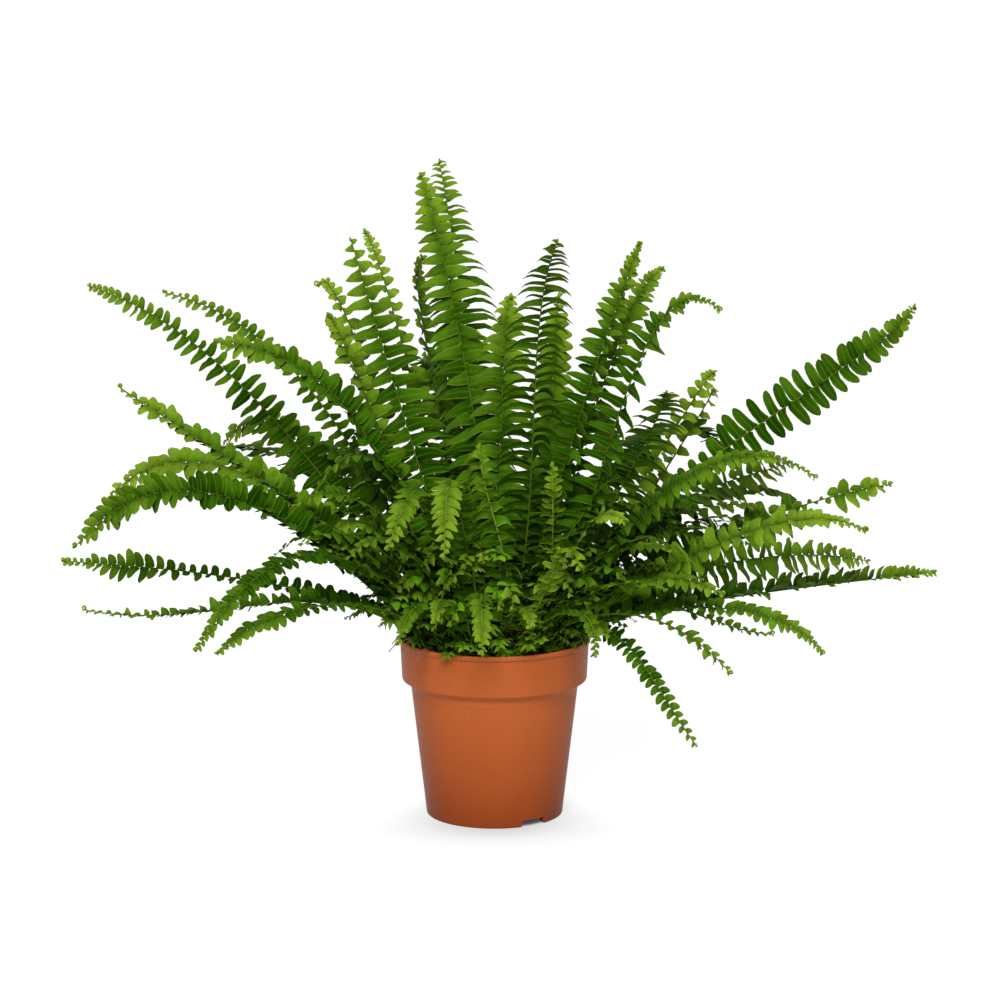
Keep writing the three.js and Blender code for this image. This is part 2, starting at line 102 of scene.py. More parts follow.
# Fronds
FOOT_SHARE = 0.38
FOOT_LIMIT = 43
FOOT_RISE = 2
ROOT_DEPTH = 9
BARE_SHARE = 0.14
BLADE_END = 0.985
STALK_HALF_WIDTH = 1.05
RIB_HALF_WIDTH = 0.34
PITCH_TAPER = 1.15
SWEEP_FOOT = 4
LOWEST_LEAFLET = 0.06
SHORTEST_LEAFLET = 5
SAG_LENGTH = 46
FOOT_LEAFLET = 0.7
FOOT_WIDENING = 1.2
TIP_NARROWING = 0.78
TAPER_BROAD = 3
TAPER_NARROW = 5
BROAD_LENGTH = 26
NARROW_LENGTH = 14
SLIM_POWER = 1.5
YOUNG_FROM = 0.6
STALK_SCALES = 16
LEAF_CREASE = 75

# Leaflets, with how far each may be off its frond's fold, sweep and slat, in degrees
FOLD_SPREAD = 11
SWEEP_SPREAD = 5
SLAT_SPREAD = 13
LEAF_HALF_THICKNESS = 0.09
LEAF_TIP_WIDTH = 0.07
LEAF_ROUNDING = 0.6
LEAF_CURVE = 0.08
EAR_SIZE = 0.55
EAR_PLACE = 0.06
EAR_REACH = 0.10
EDGE_RIPPLES = 26
FACE_WAVES = 8

# The coil at a frond's end: how far it turns, how wide it swings and how thick it ends
TIGHT_COIL = (2.4 * math.pi, 1.8, 1.15)
LOOSE_COIL = (1.9 * math.pi, 1.3, 1.0)
RIB_SIDES = 6

# Each row is one frond: where its rib passes a third and two thirds of the way along, where it
# ends, the length of its longest leaflets, its pairs of leaflets, how far its face is rolled
# about the rib at the foot and at the tip, how far both rows of leaflets are folded up at the
# foot, all in degrees, how young it is, and how much of their length its last leaflets lack.
FRONDS = {
    "upright": [
        ((-10, 34, 210), (-20, 68, 308), (-36, 108, 407), 29, 19, -8, -12, 25, 0.35, 0.2),
        ((-6, 10, 201), (-23, 33, 307), (-47, 58, 403), 24, 18, -50, -55, 0, 0.45, 0.2),
        ((-40, 22, 193), (-66, 42, 276), (-92, 61, 361), 30, 17, -65, -65, 0, 0.3, 0.3),
        ((22, -24, 207), (26, -54, 303), (38, -81, 375), 25, 18, 0, -8, 32, 0, 0.1),
        ((-34, 43, 195), (-63, 72, 304), (-84, 97, 361), 19, 14, 0, -20, 20, 0.9, 0.75),
        ((3, 5, 189), (5, 12, 267), (10, 25, 329), 24, 14, 35, 35, 0, 0.8, 0.2),
        ((38, 5, 202), (67, 9, 296), (91, 4, 365), 21, 17, 45, 45, 40, 0.4, 0.6),
        ((48, 31, 204), (79, 54, 294), (108, 72, 341), 18, 15, 50, 50, 40, 0.5, 0.6),
        ((60, -9, 200), (94, -17, 303), (139, -26, 327), 24, 16, 60, 30, 30, 0.35, 0.7),
        ((-26, 50, 207), (-46, 87, 299), (-47, 112, 344), 16, 13, 40, 40, 30, 0.8, 0.6),
        ((30, 19, 193), (37, 39, 266), (41, 43, 328), 18, 12, 50, 50, 0, 0.75, 0.4),
        ((54, -38, 172), (88, -72, 244), (104, -94, 285), 26, 13, -30, -30, 0, 0, 0.2),
        ((-54, 36, 195), (-89, 60, 295), (-113, 68, 331), 11, 11, -30, -30, 20, 1, 0.5),
        ((-50, 5, 186), (-82, 3, 272), (-104, -3, 320), 20, 13, -40, -40, 20, 0.85, 0.2),
        ((68, 17, 170), (115, 39, 241), (140, 54, 276), 14, 11, 70, 70, 0, 0.9, 0.3),
        ((73, 38, 160), (124, 72, 230), (143, 101, 258), 13, 9, 60, 60, 0, 0.95, 0.3),
    ],
    "right": [
        ((105, 17, 199), (208, 45, 270), (271, 76, 316), 22, 21, 62, 75, 0, 0.25, 0.45),
        ((70, -22, 176), (131, -47, 232), (196, -66, 229), 24, 14, 30, 20, 0, 0.5, 0.7),
        ((93, 0, 156), (175, 3, 192), (250, 0, 213), 20, 16, 40, 40, 0, 0.35, 0.4),
        ((86, -28, 150), (159, -56, 194), (226, -77, 198), 17, 15, 35, 25, 20, 0.85, 0.45),
        ((97, -12, 133), (189, -16, 149), (277, -14, 159), 17, 18, 40, 45, 75, 0.3, 0.4),
        ((91, 31, 139), (171, 74, 150), (249, 120, 139), 16, 14, 60, 60, 0, 0.4, 0.2),
        ((79, -42, 137), (148, -74, 148), (199, -101, 127), 12, 14, 15, 20, 20, 0.35, 0.4),
        ((62, -56, 140), (103, -94, 144), (142, -120, 119), 9, 9, 15, 15, 30, 0.4, 0.4),
        ((68, -38, 127), (95, -67, 107), (124, -79, 64), 9, 11, 30, 55, 0, 0.2, 0.3),
        ((72, 29, 169), (133, 70, 195), (195, 116, 206), 18, 12, 45, 45, 0, 0.3, 0.2),
        ((88, -16, 139), (132, -27, 133), (174, -36, 124), 8, 9, 20, 20, 30, 0.3, 0.2),
    ],
    "left": [
        ((-97, 17, 198), (-173, 38, 281), (-259, 52, 332), 17, 21, -60, -60, 0, 0.4, 0.5),
        ((-72, 41, 194), (-132, 83, 274), (-218, 124, 319), 12, 18, -60, -40, 0, 0.35, 0.4),
        ((-98, -46, 174), (-175, -79, 222), (-252, -106, 194), 20, 19, -35, -50, 60, 0.7, 0.2),
        ((-71, -14, 229), (-115, -24, 287), (-172, -33, 308), 17, 14, -40, -30, 30, 0.2, 0.4),
        ((-96, -26, 180), (-153, -44, 229), (-229, -60, 284), 15, 16, -25, -25, 45, 0.45, 0.5),
        ((-91, 5, 172), (-170, 16, 221), (-247, 12, 200), 15, 14, -40, -40, 20, 0.75, 0.2),
        ((-72, 26, 181), (-131, 58, 236), (-179, 80, 221), 16, 11, -40, -40, 0, 0.5, 0.2),
        ((-103, -10, 142), (-191, -18, 160), (-270, -23, 168), 14, 18, -35, -50, 45, 0.3, 0.25),
        ((-105, -39, 145), (-173, -76, 148), (-249, -97, 153), 11, 14, -10, -10, 45, 0.5, 0.3),
        ((-88, -62, 175), (-134, -123, 184), (-175, -163, 143), 10, 14, -20, -20, 0, 0.15, 0.3),
        ((-72, -64, 146), (-121, -114, 156), (-163, -154, 139), 11, 12, -20, -20, 0, 0.25, 0.3),
        ((-58, -30, 152), (-89, -58, 174), (-121, -80, 182), 10, 8, -20, -20, 0, 0.8, 0.2),
    ],
    "front": [
        ((-16, -38, 172), (-25, -82, 228), (-30, -112, 189), 15, 11, 0, 0, 0, 0.9, 0.1),
        ((-30, -30, 170), (-43, -66, 220), (-64, -98, 191), 15, 10, 0, -10, 0, 0.8, 0.1),
        ((8, -46, 163), (-2, -66, 210), (-9, -74, 250), 12, 10, 0, 0, 0, 0.45, 0),
        ((32, -42, 156), (36, -66, 199), (36, -72, 238), 9, 9, 0, 0, 0, 0.8, 0.1),
        ((24, -54, 141), (33, -66, 162), (40, -70, 184), 9, 8, 0, 0, 0, 0.75, 0),
        ((40, -34, 156), (58, -58, 197), (80, -68, 202), 14, 8, 20, 20, 0, 0.9, 0.1),
        ((-7, -46, 146), (-8, -82, 157), (-7, -102, 127), 9, 8, 0, 0, 0, 0.85, 0.1),
        ((38, -54, 140), (56, -80, 145), (61, -94, 124), 9, 7, 0, 0, 0, 0.5, 0.1),
        ((-36, -40, 142), (-50, -64, 146), (-59, -80, 128), 9, 7, 0, 0, 0, 0.6, 0.1),
        ((-20, -52, 140), (-30, -80, 154), (-36, -98, 146), 9, 7, 0, 0, 0, 0.7, 0.1),
        ((10, -56, 138), (18, -84, 152), (22, -104, 144), 9, 7, 0, 0, 0, 0.7, 0.1),
        ((61, -44, 144), (97, -68, 166), (139, -90, 161), 14, 9, 10, 10, 0, 0.6, 0.1),
    ],
    "back": [
        ((-14, 58, 203), (-34, 142, 266), (-54, 226, 214), 26, 15, 0, 0, 0, 0.3, 0.2),
        ((24, 58, 192), (56, 144, 236), (84, 228, 168), 24, 15, 0, 0, 0, 0.35, 0.2),
        ((-46, 60, 182), (-104, 120, 214), (-158, 172, 158), 22, 14, 0, 0, 0, 0.3, 0.2),
        ((52, 50, 186), (112, 122, 227), (168, 184, 184), 24, 14, 0, 0, 0, 0.25, 0.2),
        ((-60, 50, 172), (-132, 102, 212), (-192, 142, 206), 20, 13, 0, 0, 0, 0.4, 0.2),
        ((66, 56, 158), (144, 106, 188), (204, 146, 170), 20, 13, 0, 0, 0, 0.4, 0.2),
    ],
}

# How a frond's leaflets look:
# per_pair  how many there are for one pair in the solids
# even      how evenly they are spaced (1 is even, more crowds the tip)
# slat      how far they are turned about their own length, in degrees
# full      how broad they are for their spacing
# blunt     the power that makes their ends pointed (low) or round (high)
# droop     how far their ends droop
# sweep     how far the last ones are swept towards the tip, in degrees
# stay      how long they stay towards the tip
# sizes     how long they are for the solids' ones, at places from the foot to the tip
# hold      the power by which their fold opens towards the tip
# pale      how pale the rib is
# dark      how dark the grown leaflets are: partly own tone, partly painted shade; below 0 painted light
PLAIN_LOOK = dict(
    per_pair=2.0, even=1.15, slat=18, full=1.1, blunt=1.7, droop=0.1, sweep=24, stay=1.3, hold=2,
    pale=0.1, dark=0.2, sizes=((0, 1), (1, 1)),
)
YOUNG_LOOK = dict(PLAIN_LOOK, per_pair=1.9, slat=8, full=1.5, blunt=2.8, dark=0)
# Sprigs' dark below 0 lifts them to fresh green: painted light on the shaded base of the plant.
SPRIG_LOOK = dict(
    YOUNG_LOOK, per_pair=1.0, even=1.1, slat=12, full=1.0, blunt=2.2, droop=0.35, stay=1.5,
    pale=0.5, dark=-1.0,
)
FINE_LOOK = dict(SPRIG_LOOK, full=0.85, droop=0.2, pale=0.3, dark=0.2)
RIM_LOOK = dict(per_pair=2.2, full=1.2, blunt=2.2, pale=0.5, dark=0.6, sizes=((0, 0.8), (1, 0.8)))
FAR_LOOK = dict(slat=6, full=1.5, blunt=2.2, droop=0, dark=0.3)
LOOKS = {
    "upright_1": dict(per_pair=2.5, slat=22, full=1.0, blunt=2.0, droop=0.24, sweep=14, dark=0.55),
    "upright_2": dict(slat=10, full=1.25, blunt=1.5, droop=0.12, sweep=14, dark=0.35),
    "upright_3": dict(
        per_pair=1.4, even=1.05, slat=8, full=1.0, blunt=1.6, sweep=10, stay=1.1, dark=0.45,
    ),
    "upright_4": dict(per_pair=2.4, slat=22, full=0.85, blunt=2.4, droop=0.28, sweep=14, dark=0.5),
    "upright_5": dict(
        per_pair=1.8, full=1.1, blunt=3.0, stay=0.9, sizes=((0, 0.9), (0.6, 0.8), (1, 1.5)),
    ),
    "upright_6": dict(per_pair=1.7, full=1.1, blunt=1.7, droop=0.3, dark=0.5),
    "upright_7": dict(per_pair=2.3, slat=12, full=1.15, blunt=2.0, dark=0.4),
    "upright_8": dict(per_pair=2.3, slat=12, full=1.1, blunt=2.0, dark=0.3),
    "upright_9": dict(
        per_pair=2.2, slat=25, full=0.95, blunt=1.6, dark=0.5,
        sizes=((0, 1.1), (0.6, 1), (0.85, 0.7), (1, 0.8)),
    ),
    "upright_10": dict(per_pair=1.7, blunt=3.0, dark=0.3),
    "upright_11": dict(per_pair=1.9, blunt=2.4, dark=0.3),
    "upright_12": dict(per_pair=2.2, slat=24, full=0.9, blunt=1.8, droop=0.2, dark=0.6),
    "upright_13": dict(blunt=3.0),
    "upright_14": dict(per_pair=1.8, full=1.1, blunt=2.2, dark=0.2, sizes=((0, 0.75), (1, 0.75))),
    "upright_15": dict(
        per_pair=1.5, full=0.85, blunt=3.0, sizes=((0, 0.9), (0.6, 0.75), (1, 0.75)),
    ),
    "upright_16": dict(per_pair=1.4, full=0.8, blunt=3.0, sizes=((0, 0.9), (0.6, 0.7), (1, 0.7))),
    "right_1": dict(
        per_pair=1.8, even=1.0, slat=3, full=1.08, blunt=5.0, droop=0, sweep=12, stay=1.5,
        dark=0.8,
        sizes=(
            (0, 0.35), (0.3, 0.4), (0.38, 0.95), (0.65, 0.83), (0.85, 0.65), (0.94, 0.62), (1, 0.9),
        ),
    ),
    "right_2": dict(per_pair=2.6, slat=20, full=1.3, stay=0.8, dark=0.1),
    "right_3": dict(
        per_pair=1.8, even=1.0, slat=10, full=1.1, blunt=2.6, stay=2, dark=0.1,
        sizes=((0, 0.9), (0.4, 1.1), (0.62, 1.1), (0.66, 0.25), (0.74, 0.25), (0.78, 1), (1, 1)),
    ),
    "right_4": dict(
        per_pair=2.2, full=1.3, blunt=2.4, stay=1.6, dark=0.1,
        sizes=((0, 1.1), (0.6, 1), (0.8, 0.75), (1, 0.7)),
    ),
    "right_5": dict(
        per_pair=2.5, slat=12, full=1.35, blunt=2.4, hold=9, dark=-0.2, sizes=((0, 1.1), (1, 1.1)),
    ),
    "right_6": dict(per_pair=2.5, full=1.4, blunt=2.4, dark=-0.1),
    "right_7": dict(
        per_pair=2.2, blunt=2.8, stay=2, dark=-0.1,
        sizes=((0, 1.1), (0.6, 1), (0.85, 0.75), (1, 0.7)),
    ),
    "right_8": dict(stay=2.2, sizes=((0, 0.5), (0.55, 0.4), (0.7, 1.1), (1, 1))),
    "right_9": dict(
        per_pair=2.1, even=1.05, slat=5, full=1.1, blunt=3.4, stay=2, dark=0.6,
        sizes=((0, 0.6), (0.3, 0.8), (1, 0.85)),
    ),
    "right_10": dict(per_pair=2.2, full=1.4, dark=-0.1, sizes=((0, 1.1), (1, 1.1))),
    "left_1": dict(
        per_pair=1.8, even=1.25, slat=5, full=0.9, blunt=2.8, stay=1.0, dark=0.6,
        sizes=((0, 1), (0.5, 1.05), (0.75, 1.0), (1, 1.6)),
    ),
    "left_2": dict(
        per_pair=2.1, slat=12, full=1.3, blunt=3.0, stay=1.2, dark=0.2,
        sizes=((0, 0.9), (0.6, 0.8), (0.85, 1.1), (1, 1.6)),
    ),
    "left_3": dict(
        per_pair=2.3, even=1.05, slat=22, full=1.5, blunt=3.0, stay=2.2, dark=0.9,
        sizes=((0, 0.95), (0.5, 0.8), (1, 0.8)),
    ),
    "left_4": dict(full=1.3, blunt=2.4, dark=0.15, sizes=((0, 1), (0.7, 1), (1, 1.8))),
    "left_5": dict(
        per_pair=2.2, full=1.5, blunt=2.6, stay=2.2, dark=0.1,
        sizes=((0, 1.0), (0.7, 1), (1, 1.6)),
    ),
    "left_6": dict(per_pair=2.0, full=1.5, blunt=3.0),
    "left_7": dict(per_pair=2.2, full=1.4, blunt=2.4, dark=-0.1),
    "left_8": dict(
        per_pair=1.9, slat=8, full=1.0, blunt=3.4, dark=0.7,
        sizes=(
            (0, 0.7), (0.3, 0.6), (0.6, 0.5), (0.68, 1.1), (0.86, 1.1), (0.9, 0.5), (0.95, 0.6),
            (1, 1.6),
        ),
    ),
    "left_9": dict(
        per_pair=2.2, blunt=1.3, sweep=10, dark=0.4,
        sizes=((0, 1.3), (0.8, 0.8), (0.9, 1), (1, 1.5)),
    ),
    "left_10": dict(
        per_pair=2.6, slat=15, full=1.4, blunt=2.6, stay=1.8, dark=1.0, sizes=((0, 0.8), (1, 1)),
    ),
    "left_11": dict(
        per_pair=2.1, full=1.0, blunt=3.0, stay=1.8, dark=0.7,
        sizes=((0, 0.5), (0.45, 0.6), (0.6, 0.9), (1, 0.9)),
    ),
    "front_1": dict(
        per_pair=3.2, full=1.2, blunt=2.4, stay=3, pale=0.6, dark=0.5, sizes=((0, 0.7), (1, 0.75)),
    ),
    "front_2": dict(
        per_pair=3.2, full=1.2, blunt=2.4, stay=3, pale=0.6, dark=0.7, sizes=((0, 0.7), (1, 0.7)),
    ),
    "front_3": dict(per_pair=1.3, slat=5, full=0.65, blunt=1.8, droop=0.6, pale=1, dark=-0.3),
    "front_4": dict(
        per_pair=2.5, even=1.0, slat=4, full=0.8, blunt=2.0, stay=2, pale=1,
        sizes=((0, 1.1), (1, 1.0)),
    ),
    "front_5": dict(
        per_pair=1.6, even=1.0, slat=0, full=0.85, blunt=3.0, stay=2, pale=1, dark=-0.8,
        sizes=((0, 1.2), (1, 1.1)),
    ),
    "front_6": dict(per_pair=2.4, full=1.0, blunt=2.0, dark=0.3, sizes=((0, 0.8), (1, 0.8))),
    "front_7": dict(
        per_pair=2.8, full=1.3, blunt=2.4, stay=3, pale=0.6, dark=0.5, sizes=((0, 0.8), (1, 0.8)),
    ),
    "front_12": dict(per_pair=2.4, full=1.1, blunt=2.4, dark=0.4),
    **{f"front_{number}": RIM_LOOK for number in range(8, 12)},
    **{f"back_{number}": FAR_LOOK for number in range(1, 7)},
}

INSIDE_RIM = 66
LOW_RISE = 20
SPRIG_FOLD = 10
SPRIG_SLIM = 0.3
SPRIG_PALE = 0.6
SPRIG_THICKNESS = 0.5

# Each row is one clump of small fronds: how many, the arc and the circle they stand in, how far
# they rise and reach, how many pairs of leaflets they have, how long those are, and their look.
CLUMPS = {
    "front_sprigs": (62, (192, 278), 50, (16, 70), (12, 36), (6, 9), (8, 13), SPRIG_LOOK),
    "front_right_sprigs": (26, (312, 350), 50, (16, 64), (12, 36), (6, 9), (8, 13), SPRIG_LOOK),
    "rim_sprigs": (34, (195, 345), 58, (9, 24), (6, 16), (5, 8), (7, 10), SPRIG_LOOK),
    "left_sprigs": (20, (150, 225), 48, (14, 62), (30, 52), (7, 10), (8, 12), SPRIG_LOOK),
    "right_sprigs": (26, (-45, 30), 48, (14, 62), (30, 52), (7, 10), (8, 12), SPRIG_LOOK),
    "back_sprigs": (14, (40, 140), 50, (12, 45), (10, 34), (6, 9), (8, 11), SPRIG_LOOK),
    "left_fine_fronds": (16, (130, 235), 45, (55, 140), (55, 125), (13, 19), (9, 13), FINE_LOOK),
    "right_long_fronds": (7, (-22, 18), 45, (74, 100), (105, 145), (16, 21), (12, 16), FINE_LOOK),
    "right_fine_fronds": (16, (-60, 50), 45, (40, 125), (60, 130), (13, 19), (9, 13), FINE_LOOK),
}


# Meshes

def loft_faces(count, rings, points, flip):
    """Quads of closed lofts: each loft joins ring r to ring r + 1 point by point, and each end
    ring is closed by quads that pair its points from one end to the other."""
    ring = np.arange(rings - 1)[:, None] * points
    here = ring + np.arange(points)
    after = ring + (np.arange(points) + 1) % points
    side = np.stack([here, after, after + points, here + points], -1).reshape(-1, 4)
    i = np.arange(points // 2 - 1)
    cap = np.stack([i, i + 1, points - 2 - i, points - 1 - i], -1)
    last = cap + (rings - 1) * points
    one = np.concatenate([side, cap[:, ::-1], last])
    faces = one[None] + (np.arange(count) * rings * points)[:, None, None]
    faces[flip] = faces[flip][..., ::-1]
    return faces.reshape(-1, 4)


def tube_faces(rings, steps):
    """Quads between rings of so many steps, and a flat face across each end ring."""
    here = np.arange(rings - 1)[:, None] * steps + np.arange(steps)
    after = np.roll(here, -1, axis=1)
    quads = np.stack([here, after, after + steps, here + steps], -1).reshape(-1, 4).tolist()
    last = (rings - 1) * steps + np.arange(steps)
    return [*quads, np.arange(steps)[::-1].tolist(), last.tolist()]


def make_piece(name, points, faces, material, marks=None, leaf_uv=None):
    """Puts points in millimetres and their faces into a mesh in metres, with its marks and UV."""
    mesh = bpy.data.meshes.new(name)
    mesh.from_pydata(points * MM, [], faces)
    for mark, values in (marks or {}).items():
        values = np.ascontiguousarray(np.broadcast_to(values, len(points)), np.float32)
        mesh.attributes.new(mark, "FLOAT", "POINT").data.foreach_set("value", values)
    if leaf_uv is not None:
        corners = np.empty(len(mesh.loops), np.int32)
        mesh.loops.foreach_get("vertex_index", corners)
        layer = mesh.uv_layers.new(name="leaf")
        layer.data.foreach_set("uv", leaf_uv[corners].astype(np.float32).ravel())
    mesh.shade_smooth()
    mesh.materials.append(material)
    piece = bpy.data.objects.new(name, mesh)
    bpy.context.scene.collection.objects.link(piece)
    return piece


def stand_for(piece, *nodes, slot=None):
    """The piece rides on the part's one body and stands for the nodes, which are hidden."""
    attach(piece, "root")
    if nodes:
        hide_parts(*nodes)


def unit(vectors):
    """Each vector over its length."""
    return vectors / np.maximum(np.linalg.norm(vectors, axis=-1, keepdims=True), 1e-9)


def dot(a, b):
    """The sum of the products of their parts, kept as a last axis of one."""
    return np.sum(a * b, axis=-1, keepdims=True)


def lerp(a, b, t):
    """A straight run from a at 0 to b at 1."""
    return a + (b - a) * t


def cubic(handles, t):
    """A cubic Bezier curve's points: each handle by its share at t."""
    a, b, c, d = handles
    s = 1 - t
    return s**3 * a + 3 * s**2 * t * b + 3 * s * t**2 * c + t**3 * d


# Shader maths

class Value:
    """A socket in shader maths: an expression on values adds the Math nodes that work it out."""

    def __init__(self, finish, socket):
        self.finish = finish
        self.socket = socket

    def maths(self, operation, *others, clamp=False):
        settings = {"operation": operation, "use_clamp": clamp}
        node = self.finish.node("ShaderNodeMath", settings, dict(enumerate([self, *others])))
        return Value(self.finish, node.outputs[0])

    def __add__(self, other):
        return self.maths("ADD", other)

    def __sub__(self, other):
        return self.maths("SUBTRACT", other)

    def __rsub__(self, other):
        return (self * -1).maths("ADD", other)

    def __mul__(self, other):
        return self.maths("MULTIPLY", other)

    def __truediv__(self, other):
        return self.maths("DIVIDE", other)

    def __pow__(self, other):
        return self.maths("POWER", other)

    def __abs__(self):
        return self.maths("ABSOLUTE")

    __radd__ = __add__
    __rmul__ = __mul__

    def kept(self):
        """The value held between 0 and 1."""
        return self.maths("ADD", 0.0, clamp=True)

    def rise(self, low, high):
        """0 below low, 1 above high, and a straight rise between."""
        return ((self - low) / (high - low)).kept()


class Finish:
    """A material under construction: a Principled shader and the nodes that feed it."""

    def __init__(self, name):
        self.material = bpy.data.materials.new(name)
        self.material.use_nodes = True
        self.tree = self.material.node_tree
        self.tree.nodes.clear()
        self.output = self.tree.nodes.new("ShaderNodeOutputMaterial")
        self.shader = self.tree.nodes.new("ShaderNodeBsdfPrincipled")
        self.show(self.shader.outputs[0])

    def show(self, socket):
        self.tree.links.new(socket, self.output.inputs["Surface"])

    def node(self, kind, settings=None, sockets=None):
        """Adds a node: its settings first, with a ramp's stops, and then its sockets."""
        node = self.tree.nodes.new(kind)
        for key, setting in (settings or {}).items():
            if key == "stops":
                self.set_stops(node.color_ramp.elements, setting)
            else:
                setattr(node, key, setting)
        for key, value in (sockets or {}).items():
            self.feed(node.inputs[key], value)
        return node

    @staticmethod
    def set_stops(elements, stops):
        while len(elements) < len(stops):
            elements.new(0.5)
        for element, (place, colour) in zip(elements, stops):
            element.position = place
            element.color = (*colour, 1.0)

    def feed(self, socket, value):
        if isinstance(value, Value):
            self.tree.links.new(value.socket, socket)
        elif isinstance(value, bpy.types.NodeSocket):
            self.tree.links.new(value, socket)
        elif hasattr(socket.default_value, "__len__") and len(socket.default_value) == 4:
            socket.default_value = (*value[:3], 1.0)
        else:
            socket.default_value = value

    def set(self, **sockets):
        for key, value in sockets.items():
            self.feed(self.shader.inputs[key.replace("_", " ")], value)

    def mark(self, name):
        node = self.node("ShaderNodeAttribute", {"attribute_name": name})
        return Value(self, node.outputs["Fac"])

    def place(self):
        return self.node("ShaderNodeTexCoord").outputs["Object"]

    def axes(self):
        """How far along X, Y and Z a point lies, in metres."""
        parts = self.node("ShaderNodeSeparateXYZ", None, {0: self.place()})
        return [Value(self, socket) for socket in parts.outputs]

    def leaf(self):
        """How far along a leaflet a point lies, and how far across it, both from 0 to 1."""
        uv = self.node("ShaderNodeUVMap", {"uv_map": "leaf"}).outputs[0]
        parts = self.node("ShaderNodeSeparateXYZ", None, {0: uv})
        return Value(self, parts.outputs[0]), Value(self, parts.outputs[1])

    def noise(self, scale, detail=3.0, roughness=0.55, stretch=None):
        """Cloudy noise with so many lumps to the metre, drawn out along an axis if asked."""
        where = self.place()
        if stretch:
            where = self.node("ShaderNodeMapping", None, {0: where, "Scale": stretch}).outputs[0]
        sockets = {"Vector": where, "Scale": scale, "Detail": detail, "Roughness": roughness}
        return Value(self, self.node("ShaderNodeTexNoise", None, sockets).outputs["Fac"])

    def mix(self, share, first, second):
        """The second colour's share over the first."""
        settings = {"data_type": "RGBA"}
        return self.node("ShaderNodeMix", settings, {0: share, 6: first, 7: second}).outputs[2]

    def ramp(self, value, stops):
        return self.node("ShaderNodeValToRGB", {"stops": stops}, {0: value}).outputs[0]

    def bump(self, height, depth):
        """Raises the surface by depth millimetres where height is 1."""
        sockets = {"Strength": 1.0, "Distance": depth * MM, "Height": height}
        self.set(Normal=self.node("ShaderNodeBump", None, sockets).outputs[0])


# Materials

LEAF_DARK_AND_SHADE = (0.0025, 0.0200, 0.0001)
LEAF_MATURE = (0.0165, 0.0800, 0.0006)
LEAF_FRESH_AND_PAINTED_LIGHT = (0.0900, 0.3100, 0.0080)
LEAF_YOUNG_AND_EDGE_LIGHT = (0.1700, 0.2600, 0.0170)
LEAF_UNDER = (0.0280, 0.0800, 0.0020)
LEAF_VEIN = (0.0550, 0.1250, 0.0030)
LEAF_THROUGH = (0.0900, 0.2600, 0.0005)
LEAF_SHINE = (0.50, 1.00, 0.08)
STALK_GREEN = (0.0400, 0.0600, 0.0050)
STALK_PALE = (0.1300, 0.1700, 0.0200)
STALK_BROWN = (0.0300, 0.0140, 0.0040)
POT_GRAIN_AND_SHADE = (0.120, 0.018, 0.003)
POT_PAINTED_LIGHT = (0.480, 0.130, 0.045)
POT_SCUFFED = (0.340, 0.150, 0.080)
POT_SHINE = (1.00, 0.65, 0.40)
POT_CLOUDS = [
    (0.25, (0.225, 0.0515, 0.0120)), (0.55, (0.250, 0.0580, 0.0145)),
    (0.80, (0.272, 0.0640, 0.0170)),
]
PEAT_FIBRE = (0.150, 0.080, 0.034)
PEAT_CRUMBS = [
    (0.3, (0.010, 0.005, 0.003)), (0.55, (0.040, 0.020, 0.010)), (0.8, (0.110, 0.058, 0.028)),
]
SCALE_STREAKS = [
    (0.3, (0.050, 0.020, 0.007)), (0.55, (0.135, 0.058, 0.018)), (0.8, (0.270, 0.140, 0.050)),
]


